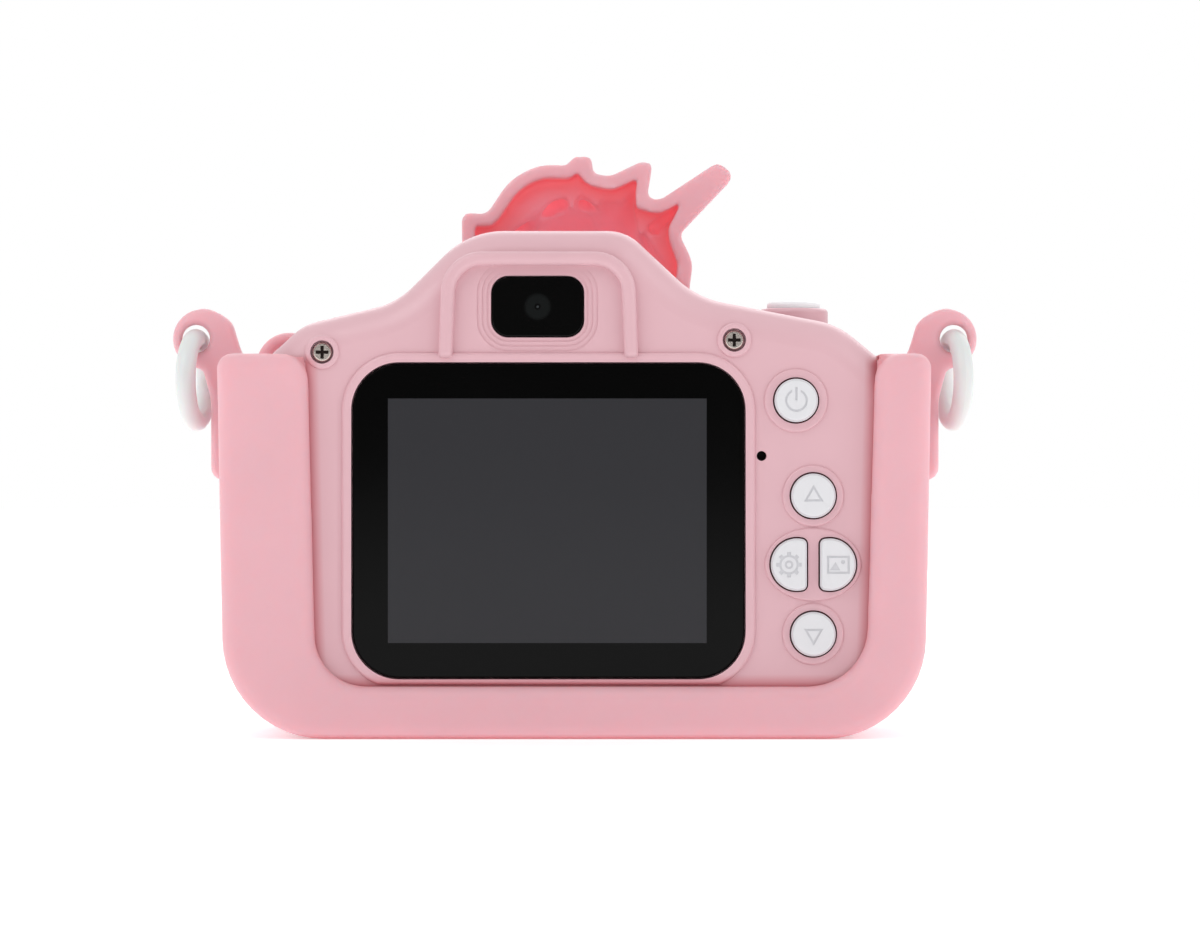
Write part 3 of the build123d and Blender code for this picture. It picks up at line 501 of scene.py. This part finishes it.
SMILE_END_X = 18.5


def lock(grid, places, root_r, y, rise):
    """One lock of hair that swells forward in its middle."""
    a, b, c = places
    radii = (root_r, root_r * 0.8, root_r * 0.3)
    first = capsule(grid, (a[0], y, a[1]), (b[0], y + rise, b[1]), radii[0], radii[1])
    second = capsule(grid, (b[0], y + rise, b[1]), (c[0], y, c[1]), radii[1], radii[2])
    return join(first, second, 1.5)


def horn(grid):
    """A cone with a shallow spiral."""
    start, end = np.array(HORN_ROOT), np.array(HORN_TIP)
    cone = capsule(grid, start, end, 2.5, 1.15)
    e = (end - start) / np.linalg.norm(end - start)
    along = (grid.X - start[0]) * e[0] + (grid.Y - start[1]) * e[1] + (grid.Z - start[2]) * e[2]
    wrap = (grid.Z - start[2] - along * e[2]) * 1.2 + (grid.Y - start[1]) * 0.6
    return cone + 0.16 * np.sin(along * 2.1 + wrap)


def head_field(grid, head, cheek):
    """The head from outside, without its hollow."""
    spread = ((grid.X - CROWN[0]) ** 2 + 0.45 * (grid.Z - CROWN[1]) ** 2) / CROWN_REACH**2
    crest = np.clip((grid.Z - CREST_FROM_Z) / CREST_RISE, 0, 1)
    face_y = FRONT_Y - 0.25 - CROWN_DROP * spread - CREST_DROP * crest**1.5
    face = prism(grid, cheek, PANEL_IN_Y, face_y, 0, FACE_ROUND)
    solid = join(face, ellipsoid(grid, MUZZLE, MUZZLE_RADII), 2.5)
    solid = join(solid, prism(grid, head, PANEL_IN_Y, PANEL_IN_Y + BRIM, 0, BRIM_ROUND), 1.2)
    for *places, root in MANE_LOCKS:
        solid = join(solid, lock(grid, places, root, PANEL_IN_Y + 4.6, 2.4), 0.9)
    for *places, root in CREST_LOCKS:
        solid = join(solid, lock(grid, places, root, PANEL_IN_Y + 5.2, 1.8), 0.7)
    solid = join(solid, capsule(grid, EAR_ROOT, EAR_TIP, 3.4, 1.0), 0.8)
    solid = join(solid, horn(grid), 0.6)
    return round_meet(solid, head - 0.05, 0.4)


def line_distance(grid, a, b):
    """Distance in X and Z from the straight line between two places (x, z)."""
    return capsule(Plate(grid), (a[0], 0, a[1]), (b[0], 0, b[1]), 0.0, 0.0)


def run_distance(grid, run):
    """Distance in X and Z from a run of straight lines."""
    return np.minimum.reduce([line_distance(grid, a, b) for a, b in zip(run, run[1:])])


def open_behind(grid, solid):
    """The same field with its rear face taken away, for the room that opens behind."""
    first = int(np.searchsorted(grid.y, PANEL_IN_Y + 2.6))
    opened = solid.copy()
    opened[:, :first] = solid[:, first : first + 1]
    return opened


def engrave_face(grid, solid):
    """Closed eye with lashes, nostril and mouth line, all sunk into the face."""
    depth = np.abs(solid + 0.05)
    lid = np.abs(circle(grid, *EYE, EYE_R))
    lid = np.maximum(lid, np.maximum(grid.Z - EYE_TOP_Z, 0)) + 0 * grid.Y
    groove = np.sqrt(lid**2 + depth**2) - 0.55
    for turn in LASH_TURNS:
        c, s = math.cos(math.radians(turn)), math.sin(math.radians(turn))
        root = (EYE[0] + EYE_R * c, EYE[1] + EYE_R * s)
        tip = (EYE[0] + (EYE_R + LASH) * c, EYE[1] + (EYE_R + LASH) * s)
        lash = line_distance(grid, root, tip)
        groove = np.minimum(groove, np.sqrt(lash**2 + depth**2) - 0.42)
    across = (grid.X - NOSTRIL[0]) / NOSTRIL_RADII[0]
    up = (grid.Z - NOSTRIL[1]) / NOSTRIL_RADII[1]
    nostril = np.maximum(np.sqrt(across**2 + up**2) - 1, 0)
    nostril = np.sqrt(nostril**2 + depth**2) - 0.8
    mouth = np.abs(circle(grid, *SMILE, SMILE_R))
    mouth = np.maximum(mouth, np.maximum(grid.Z - SMILE_TOP_Z, SMILE_END_X - grid.X))
    mouth = np.sqrt(np.maximum(mouth, 0) ** 2 + depth**2) - 0.5
    for mark in (nostril, mouth):
        solid = cut(solid, mark, 0.5)
    return cut(solid, groove, 0.35), groove


def slot_field(grid, node, border):
    """A window through the base in line with a piece behind it."""
    low, high = box_mm(node)
    x, y = (low[0] + high[0]) / 2, (low[1] + high[1]) / 2
    across = np.abs(grid.X - x) - (high[0] - low[0]) / 2 - border
    deep = np.abs(grid.Y - y) - (high[1] - low[1]) / 2 - border
    return np.maximum(round_meet(across, deep, SLOT_ROUND), grid.Z - BODY_BASE_Z - 1)


def lug_field(grid, side):
    """One strap lug, at the right for side 1 and at the left for side -1."""
    lug = flat_distance(lug_points() * (side, 1), grid)
    lug = join(lug, circle(grid, side * LUG_END_X, LUG_HOLE_Z, LUG_END_R), 0.8)
    lug = cut(lug, circle(grid, side * RING[0], LUG_HOLE_Z, LUG_HOLE_R), 0.4)
    rear_y, front_y = RING[1] - LUG_THICKNESS / 2, RING[1] + LUG_THICKNESS / 2
    return prism(grid, lug, rear_y, front_y, LUG_ROUND, LUG_ROUND)


def cradle_field(grid):
    """Tray, web, lip and front panel, before the camera's room is taken out."""
    outline = flat_distance(sleeve_points(ARM_TOP_Z, ARM_ROUND), grid)
    tray = prism(grid, outline, BODY_REAR_Y, PANEL_OUT_Y - 0.5, 0, TRAY_ROUND)
    outline = flat_distance(lip_points(WEB_ROUND), grid)
    web = prism(grid, outline, BODY_REAR_Y - 0.6, BODY_REAR_Y + WEB_DEPTH, WEB_ROUND, WEB_ROUND)
    outline = flat_distance(lip_points(), grid)
    lip = prism(grid, outline, REAR_Y, BODY_REAR_Y + 1.5, LIP_ROUND, 0)
    outline = flat_distance(sleeve_points(PANEL_TOP_Z, PANEL_CORNER), grid)
    panel = prism(grid, outline, PANEL_IN_Y - 2, PANEL_OUT_Y, 0, PANEL_ROUND)
    return np.minimum.reduce([tray, web, lip, panel])


def loop_field(grid):
    """The small loop that stands on the panel's top."""
    loop = np.maximum(circle(grid, LOOP_X, LOOP_Z, LOOP_R), -circle(grid, LOOP_X, LOOP_Z, LOOP_HOLE_R))
    return prism(grid, loop, PANEL_IN_Y, PANEL_OUT_Y, LOOP_ROUND, LOOP_ROUND)


def hollow_field(grid, outside, cheek, hollow_edge):
    """The room inside the head, with folds that stand into it, clear of the lens."""
    room = np.minimum(hollow_edge, cheek + 2.2)
    room = round_meet(open_behind(grid, outside) + SKIN, room + 0 * grid.Y, 0.8)
    for run in FOLDS:
        ridge = FOLD_HEIGHT * np.exp(-((run_distance(grid, run) / FOLD_WIDTH) ** 2))
        room = room + ridge * (grid.Y > PANEL_IN_Y + 3.5)
    room = np.maximum(room, LENS_RING_R + LENS_BOSS - circle(grid, LENS[0], LENS[2], 0))
    return np.maximum(room, PANEL_IN_Y - 1 - grid.Y)


def cut_openings(grid, sleeve):
    """Lens hole, windows for the sockets, and sound holes."""
    sleeve = cut(sleeve, circle(grid, LENS[0], LENS[2], LENS_RING_R + LENS_FIT) + 0 * grid.Y, LENS_EDGE)
    for node, border in (("usb_socket", USB_BORDER), ("card_socket", CARD_BORDER)):
        sleeve = np.maximum(sleeve, -slot_field(grid, node, border))
    speaker = centre_mm("speaker")
    places = [(speaker[0], speaker[2])]
    for k in range(SOUND_RING_HOLES):
        a = 2 * math.pi * (k + 1) / SOUND_RING_HOLES
        places.append((speaker[0] + SOUND_RING_R * math.cos(a), speaker[2] + SOUND_RING_R * math.sin(a)))
    for x, z in places:
        hole = circle(grid, x, z, SOUND_HOLE_R)
        sleeve = cut(sleeve, np.maximum(hole, BODY_FRONT_Y - grid.Y), 0.3)
    return sleeve


def make_sleeve(pitch):
    grid = Grid(sleeve_low - 4 * pitch, sleeve_high + 4 * pitch, pitch)
    sleeve = cradle_field(grid)
    for side in (-1, 1):
        sleeve = join(sleeve, lug_field(grid, side), 0.8)
    sleeve = join(sleeve, loop_field(grid), 0.5)
    room = flat_distance(body_points(), grid) - FIT
    room = prism(grid, room, BODY_REAR_Y - FIT, PANEL_IN_Y, ROOM_ROUND, ROOM_ROUND)
    sleeve = cut(sleeve, room, 0.5)
    head = flat_distance(head_points(), grid)
    cheek = flat_distance(cheek_points(), grid)
    hollow_edge = flat_distance(hollow_points(), grid)
    outside = head_field(grid, head, cheek)
    hollow = hollow_field(grid, outside, cheek, hollow_edge)
    marked, groove = engrave_face(grid, outside)
    sleeve = join(sleeve, marked, 1.0)
    sleeve = cut(sleeve, hollow, 0.35)
    sleeve = cut_openings(grid, sleeve)
    piece, points = mesh_from_field("sleeve_skin", grid, sleeve)

    # What the material paints: a painted glow over the hollow, a painted red glow near its edge, the
    # eye's ink, and painted shade in the creases.
    near_hollow = np.abs(grid.sample(hollow, points)) < 0.6 * pitch + 0.15
    inside = near_hollow * np.clip((points[:, 1] - PANEL_IN_Y - 0.15) / 2.2, 0, 1)
    to_edge = np.clip(1 + grid.sample(hollow_edge, points) / EDGE_GLOW, 0, 1)
    # Painted shade: the sleeve turns deeper pink near the camera's room and along its bottom edge just
    # above the floor.
    to_body = np.clip(1 - grid.sample(room, points) / CREASE_SHADE_REACH, 0, 1)
    to_floor = np.clip(1 - points[:, 2] / FLOOR_SHADE, 0, 1) * (points[:, 2] > 0.02)
    point_value(piece, "hollow", inside)
    point_value(piece, "edge", inside * to_edge * (points[:, 2] > 56.0))
    point_value(piece, "ink", np.clip(0.45 - grid.sample(groove, points), 0, 0.3) / 0.3)
    point_value(piece, "crease_shade", np.maximum(to_body, to_floor))
    piece.data.materials.append(silicone())
    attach(piece, "camera")
    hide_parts("silicone_sleeve")
    return piece


# ---- Materials ------------------------------------------------------------------------------------
def srgb(r, g, b):
    """A linear colour from the usual 0 to 255 values."""
    def linear(v):
        v /= 255
        return v / 12.92 if v <= 0.04045 else ((v + 0.055) / 1.055) ** 2.4
    return (linear(r), linear(g), linear(b), 1.0)


# Deep red painted shade for the gaps round the back keys.
GAP_SHADE_RED = srgb(140, 10, 26)
BACK_KEYS = ("power_button", "up_button", "down_button", "settings_button", "gallery_button")
KEY_RISE = 0.95
# A key's symbol is sunk between these depths from its face, and painted a little darker there as shade.
ICON_FACE = 0.05
ICON_FLOOR = 0.2
SCREW_RECESS = 0.28
# Half of the display's lit area, across and up.
LIT_HALF = (20.4, 15.65)
# The small camera's rings behind its window: radius, soft edge and colour, from the outside in; the
# last, pale one is a painted glint on its lens.
SELFIE_RINGS_AND_GLINT = [
    (1.6, 0.5, (22, 24, 24)),
    (0.4, 0.2, (6, 6, 6)),
    (0.15, 0.1, (60, 64, 66)),
]


class Finish:
    """A node material whose colour, roughness and bump come from fine noise."""

    def __init__(self, name, colour, rough, mottle=0.04, mottle_size=9.0, grain=0.15, grain_size=0.35):
        self.mat = bpy.data.materials.new(name)
        self.mat.use_nodes = True
        self.tree = self.mat.node_tree
        self.shader = self.tree.nodes["Principled BSDF"]
        self.coords = self.node("ShaderNodeTexCoord").outputs["Object"]
        soft = self.noise(1 / (mottle_size * MM), 3)
        dark = [c * (1 - mottle) for c in colour[:3]] + [1]
        light = [min(1, c * (1 + mottle)) for c in colour[:3]] + [1]
        self.colour = self.mix(soft, dark, light)
        self.link(self.colour, self.shader.inputs["Base Color"])
        self.link(self.spread(soft, rough * 0.9, rough * 1.1), self.shader.inputs["Roughness"])
        fine = self.noise(1 / (grain_size * MM), 2)
        self.bump(fine, grain, 0.02 * MM)

    def node(self, kind):
        return self.tree.nodes.new(kind)

    def link(self, a, b):
        self.tree.links.new(a, b)

    def noise(self, scale, detail):
        n = self.node("ShaderNodeTexNoise")
        n.inputs["Scale"].default_value = scale
        n.inputs["Detail"].default_value = detail
        self.link(self.coords, n.inputs["Vector"])
        return n.outputs["Fac"]

    def mix(self, factor, a, b):
        n = self.node("ShaderNodeMix")
        n.data_type = "RGBA"
        for socket, value in ((n.inputs[0], factor), (n.inputs[6], a), (n.inputs[7], b)):
            if isinstance(value, bpy.types.NodeSocket):
                self.link(value, socket)
            else:
                socket.default_value = value
        return n.outputs[2]

    def spread(self, value, low, high):
        n = self.node("ShaderNodeMapRange")
        n.inputs["From Min"].default_value = 0.3
        n.inputs["From Max"].default_value = 0.7
        n.inputs["To Min"].default_value = low
        n.inputs["To Max"].default_value = high
        self.link(value, n.inputs["Value"])
        return n.outputs["Result"]

    def math(self, operation, a, b=0.0, c=0.0):
        n = self.node("ShaderNodeMath")
        n.operation = operation
        for socket, value in zip(n.inputs, (a, b, c)):
            if isinstance(value, bpy.types.NodeSocket):
                self.link(value, socket)
            else:
                socket.default_value = value
        return n.outputs[0]

    def bump(self, height, strength, distance):
        n = self.node("ShaderNodeBump")
        n.inputs["Strength"].default_value = strength
        n.inputs["Distance"].default_value = distance
        self.link(height, n.inputs["Height"])
        before = self.shader.inputs["Normal"].links
        if before:
            self.link(before[0].from_socket, n.inputs["Normal"])
        self.link(n.outputs["Normal"], self.shader.inputs["Normal"])

    def attribute(self, name):
        n = self.node("ShaderNodeAttribute")
        n.attribute_name = name
        return n.outputs["Fac"]

    def paint(self, factor, colour):
        """Another colour over the first where factor is 1."""
        self.colour = self.mix(factor, self.colour, colour)
        self.link(self.colour, self.shader.inputs["Base Color"])

    def axis(self, index):
        n = self.node("ShaderNodeSeparateXYZ")
        self.link(self.coords, n.inputs[0])
        return n.outputs[index]

    def step(self, value, edge, width):
        """0 below the edge and 1 above it, over a short width, all in metres."""
        n = self.node("ShaderNodeMapRange")
        n.inputs["From Min"].default_value = edge - width / 2
        n.inputs["From Max"].default_value = edge + width / 2
        self.link(value, n.inputs["Value"])
        return n.outputs["Result"]

    def set(self, **values):
        for key, value in values.items():
            self.shader.inputs[key.replace("_", " ")].default_value = value
        return self


def silicone():
    f = Finish("soft_silicone", srgb(233, 180, 189), 0.52, mottle=0.03, grain=0.25, grain_size=0.3)
    # Painted shade: deeper pink in the creases beside the camera and along the floor.
    f.paint(f.math("MULTIPLY", f.attribute("crease_shade"), 0.8), srgb(222, 116, 124))
    # Painted light in the head's hollow: a paler coral over it, a vivid red glow near its edge, and a
    # faint emission that grows towards its back wall, all standing in for light through the silicone.
    hollow = f.attribute("hollow")
    f.paint(hollow, srgb(247, 158, 172))
    f.paint(f.attribute("edge"), srgb(243, 88, 90))
    glow_to_back = f.step(f.axis(1), (PANEL_IN_Y + 6.0) * MM, 5.0 * MM)
    glow = f.math("MULTIPLY_ADD", glow_to_back, 0.07, 0.16)
    f.link(f.math("MULTIPLY", hollow, glow), f.shader.inputs["Emission Strength"])
    f.shader.inputs["Emission Color"].default_value = srgb(230, 152, 166)
    f.paint(f.attribute("ink"), srgb(88, 40, 48))
    f.set(Subsurface_Weight=0.5, Subsurface_Scale=0.003, Sheen_Weight=0.12, Sheen_Roughness=0.5)
    f.shader.inputs["Subsurface Radius"].default_value = (1.0, 0.35, 0.3)
    return f.mat


def shell_plastic():
    """Satin pink, with a deep red painted shade on the walls inside the key holes and a reddish painted
    shade beside the silicone lip.
    """
    f = Finish("shell_plastic", srgb(224, 180, 188), 0.36, mottle=0.02, grain=0.12, grain_size=0.5)
    # Painted shade: deep red on the shell's walls inside the key holes.
    deep = f.step(f.axis(1), (BODY_REAR_Y + 0.12) * MM, 0.1 * MM)
    for name in BACK_KEYS:
        low, high = box_mm(name)
        inside = deep
        for index in (0, 2):
            middle = (low[index] + high[index]) / 2
            half = (high[index] - low[index]) / 2
            away = f.math("ABSOLUTE", f.math("SUBTRACT", f.axis(index), middle * MM))
            inside = f.math("MULTIPLY", inside, f.step(away, half * MM, -0.1 * MM))
        f.paint(inside, GAP_SHADE_RED)
    # Painted shade: a reddish band on the shell where it meets the silicone lip.
    f.paint(f.math("MULTIPLY", lip_shade(f), 0.75), srgb(205, 104, 114))
    return f.set(Coat_Weight=0.15, Coat_Roughness=0.25).mat


def lip_shade(f):
    """Where the reddish painted shade falls on the shell: 1 where the shell meets the silicone lip,
    falling to 0 a little way off, below the arms.
    """
    left_top, left_low, right_low, right_top = LIP_INSIDE
    half_shade = LIP_SHADE_REACH / 2 * MM
    beside = f.step(f.axis(2), left_low[1] * MM + half_shade, -2 * half_shade)
    for low, top, side in ((left_low, left_top, 1), (right_low, right_top, -1)):
        # The edge leans like the lip's own, from its foot's place at the floor.
        lean = (top[0] - low[0]) / (top[1] - low[1])
        edge_x = f.math("MULTIPLY_ADD", f.axis(2), lean, low[0] * MM)
        past_edge = f.math("SUBTRACT", f.axis(0), edge_x)
        beside = f.math("MAXIMUM", beside, f.step(past_edge, side * half_shade, -side * 2 * half_shade))
    rear = f.step(f.axis(1), (BODY_REAR_Y + WEB_DEPTH) * MM, -0.5 * MM)
    below_top = f.step(f.axis(2), (ARM_TOP_Z - 0.6) * MM, -1.2 * MM)
    return f.math("MULTIPLY", beside, f.math("MULTIPLY", rear, below_top))


def button_plastic(name, colour, face_y=None):
    """White caps; with face_y, their sunk symbols get a little painted shade and their sides a deep red
    painted shade.
    """
    f = Finish(name, colour, 0.34, mottle=0.015, grain=0.1, grain_size=0.4)
    if face_y is not None:
        # Painted shade: the sunk symbols are a little darker.
        sunk = f.step(f.axis(1), (face_y + ICON_FACE) * MM, 0.02 * MM)
        shallow = f.math("SUBTRACT", 1.0, f.step(f.axis(1), (face_y + ICON_FLOOR) * MM, 0.02 * MM))
        f.paint(f.math("MULTIPLY", sunk, shallow), srgb(213, 213, 217))
        # Painted shade: deep red on the cap sides down in the gap.
        f.paint(f.step(f.axis(1), (face_y + KEY_RISE + 0.1) * MM, 0.1 * MM), GAP_SHADE_RED)
    return f.mat


def ring_plastic():
    f = Finish("ring_plastic", srgb(226, 230, 229), 0.3, mottle=0.02, grain=0.1, grain_size=0.4)
    f.set(Subsurface_Weight=0.15, Subsurface_Scale=0.001)
    return f.mat


def screen_acrylic():
    """Black-bordered window; the display shows as a dark grey panel behind it."""
    f = Finish("screen_acrylic", srgb(3, 3, 3), 0.1, mottle=0.1, grain=0.0)
    middle = centre_mm("lcd_panel")
    lit = 1.0
    for index, half in ((0, LIT_HALF[0]), (2, LIT_HALF[1])):
        away = f.math("ABSOLUTE", f.math("SUBTRACT", f.axis(index), middle[index] * MM))
        lit = f.math("MULTIPLY", lit, f.step(away, half * MM, -0.06 * MM))
    f.paint(lit, srgb(53, 53, 56))
    f.set(Specular_IOR_Level=0.1, Coat_Weight=0.0)
    return f.mat


def selfie_acrylic():
    """Black window with the small camera behind it just showing, and a painted glint at its centre."""
    f = Finish("dark_acrylic", srgb(4, 4, 4), 0.07, mottle=0.1, grain=0.0)
    middle = centre_mm("selfie_lens")
    across = f.math("SUBTRACT", f.axis(0), middle[0] * MM)
    up = f.math("SUBTRACT", f.axis(2), middle[2] * MM)
    away = f.math("SQRT", f.math("ADD", f.math("MULTIPLY", across, across), f.math("MULTIPLY", up, up)))
    # The first rings are the lens and its dark opening; the last is a painted glint.
    for radius, soft, colour in SELFIE_RINGS_AND_GLINT:
        f.paint(f.step(away, radius * MM, -soft * MM), srgb(*colour))
    return f.set(Specular_IOR_Level=0.15).mat


def clear_plastic():
    f = Finish("clear_plastic", (0.98, 0.98, 1.0, 1), 0.04, mottle=0.0, grain=0.0)
    return f.set(Transmission_Weight=1.0, IOR=1.49).mat


def metal(name, colour, rough):
    f = Finish(name, colour, rough, mottle=0.08, mottle_size=2.0, grain=0.2, grain_size=0.2)
    return f.set(Metallic=1.0).mat


def screw_steel():
    """Bright heads whose cross recess gets painted shade, told by its depth from the head's face."""
    steel = srgb(214, 204, 196)
    f = Finish("screw_steel", steel, 0.24, mottle=0.1, mottle_size=1.0, grain=0.4, grain_size=0.15)
    head_y = box_mm("shell_screws")[0][1]
    # Painted shade: the cross recess is dark.
    f.paint(f.step(f.axis(1), (head_y + SCREW_RECESS) * MM, 0.1 * MM), srgb(52, 44, 42))
    return f.set(Metallic=1.0).mat


def plain(name, colour, rough):
    f = Finish(name, colour, rough, mottle=0.08, mottle_size=3.0, grain=0.25, grain_size=0.3)
    return f.mat


def circuit_board():
    """Green mask with paler tracks."""
    f = Finish("circuit_board", srgb(18, 78, 42), 0.4, mottle=0.1, grain=0.2)
    wave = f.node("ShaderNodeTexVoronoi")
    wave.feature = "DISTANCE_TO_EDGE"
    wave.inputs["Scale"].default_value = 1 / (2.2 * MM)
    f.link(f.coords, wave.inputs["Vector"])
    f.paint(f.step(wave.outputs["Distance"], 0.08, -0.02), srgb(60, 130, 80))
    return f.mat


def dress_nodes():
    """Puts a finish on each carried-over piece by its slot in the record, where this script has one for
    that slot.
    """
    button_y = box_mm("power_button")[0][1]
    finishes = {
        "shell_plastic": shell_plastic(),
        "button_plastic": button_plastic("button_plastic", srgb(226, 226, 229), button_y),
        "ring_plastic": ring_plastic(),
        "window_acrylic": selfie_acrylic(),
        "clear_plastic": clear_plastic(),
        "black_plastic": plain("black_plastic", srgb(16, 16, 17), 0.45),
        "trim_plastic": plain("trim_plastic", srgb(228, 228, 230), 0.3),
        "foam": plain("foam", srgb(24, 24, 24), 0.9),
        "lcd_glass": plain("lcd_glass", srgb(30, 30, 33), 0.1),
        "white_film": plain("white_film", srgb(225, 225, 220), 0.6),
        "tinned_steel": metal("tinned_steel", srgb(190, 190, 188), 0.35),
        "screw_steel": screw_steel(),
        "flex_film": plain("flex_film", srgb(190, 120, 40), 0.4),
        "circuit_board": circuit_board(),
        "chip_epoxy": plain("chip_epoxy", srgb(26, 26, 28), 0.6),
        "battery_foil": metal("battery_foil", srgb(205, 206, 210), 0.35),
        "lead_jacket": plain("lead_jacket", srgb(170, 28, 26), 0.45),
    }
    slots = {s["node"]: s["material_slot"] for s in frame["record"]["subparts"]}
    for name, piece in frame["nodes"].items():
        if slots[name] not in finishes:
            continue
        mat = finishes[slots[name]]
        if name == "screen_window":
            mat = screen_acrylic()
        if name == "shutter_button":
            mat = button_plastic("shutter_plastic", srgb(246, 246, 248))
        if name == "microphone":
            mat = finishes["foam"]
        piece.data.materials.clear()
        piece.data.materials.append(mat)


# ---- Stage, light and camera -------------------------------------------------------------------
def make_stage():
    bpy.ops.mesh.primitive_plane_add(size=6, location=(0, 0, 0))
    floor = bpy.context.object
    floor.name = "floor"
    white = srgb(252, 252, 252)
    f = Finish("pale_floor", white, 0.8, mottle=0.005, mottle_size=60, grain=0.1, grain_size=1.0)
    f.set(Specular_IOR_Level=0.0, Emission_Strength=0.3)
    f.shader.inputs["Emission Color"].default_value = (1, 1, 1, 1)
    floor.data.materials.append(f.mat)


def make_sky():
    """White to the camera; as light, bright all round except behind the viewer."""
    world = bpy.data.worlds.new("studio")
    world.use_nodes = True
    bpy.context.scene.world = world
    tree = world.node_tree
    sky = tree.nodes["Background"]
    sky.inputs["Strength"].default_value = 1.0
    coords = tree.nodes.new("ShaderNodeTexCoord")
    parts = tree.nodes.new("ShaderNodeSeparateXYZ")
    tree.links.new(coords.outputs["Generated"], parts.inputs[0])
    ramp = tree.nodes.new("ShaderNodeMapRange")
    ramp.interpolation_type = "SMOOTHSTEP"
    ramp.inputs["From Min"].default_value = -0.95
    ramp.inputs["From Max"].default_value = -0.2
    ramp.inputs["To Min"].default_value = 0.18
    ramp.inputs["To Max"].default_value = 0.9
    tree.links.new(parts.outputs[1], ramp.inputs["Value"])
    path = tree.nodes.new("ShaderNodeLightPath")
    choose = tree.nodes.new("ShaderNodeMix")
    choose.data_type = "RGBA"
    choose.inputs[7].default_value = (1.0, 1.0, 1.0, 1)
    tree.links.new(path.outputs["Is Camera Ray"], choose.inputs[0])
    tree.links.new(ramp.outputs["Result"], choose.inputs[6])
    tree.links.new(choose.outputs[2], sky.inputs["Color"])


def area_light(name, place, target, size, power):
    data = bpy.data.lights.new(name, "AREA")
    data.shape = "RECTANGLE"
    data.size, data.size_y = size
    data.energy = power
    lamp = bpy.data.objects.new(name, data)
    bpy.context.scene.collection.objects.link(lamp)
    lamp.location = place
    aim = np.array(target) - np.array(place)
    lamp.rotation_mode = "QUATERNION"
    lamp.rotation_quaternion = Vector(aim).to_track_quat("-Z", "Y")
    return lamp


def make_lights():
    middle = (0, 0, 0.04)
    area_light("key", (-0.35, -0.45, 0.55), middle, (0.5, 0.5), 1.3)
    area_light("fill", (0.5, -0.4, 0.35), middle, (0.5, 0.5), 0.75)
    area_light("back", (0.1, 0.6, 0.5), middle, (0.8, 0.5), 1.4)


def make_camera():
    """Level, straight behind the screen, at arm's length."""
    distance = 0.520
    metres_per_pixel = 0.1275 * MM
    image_width = 1200
    data = bpy.data.cameras.new("camera")
    data.sensor_width = 36
    data.lens = distance / (metres_per_pixel * image_width) * data.sensor_width
    data.clip_start, data.clip_end = 0.01, 20
    cam = bpy.data.objects.new("camera", data)
    bpy.context.scene.collection.objects.link(cam)
    cam.location = (3.3 * MM, REAR_Y * MM - distance, 34.4 * MM)
    cam.rotation_euler = (math.pi / 2, 0, 0)
    bpy.context.scene.camera = cam
    bpy.context.scene.view_settings.view_transform = "Standard"


make_camera()
make_stage()
make_sky()
make_lights()
make_sleeve(0.4)
dress_nodes()
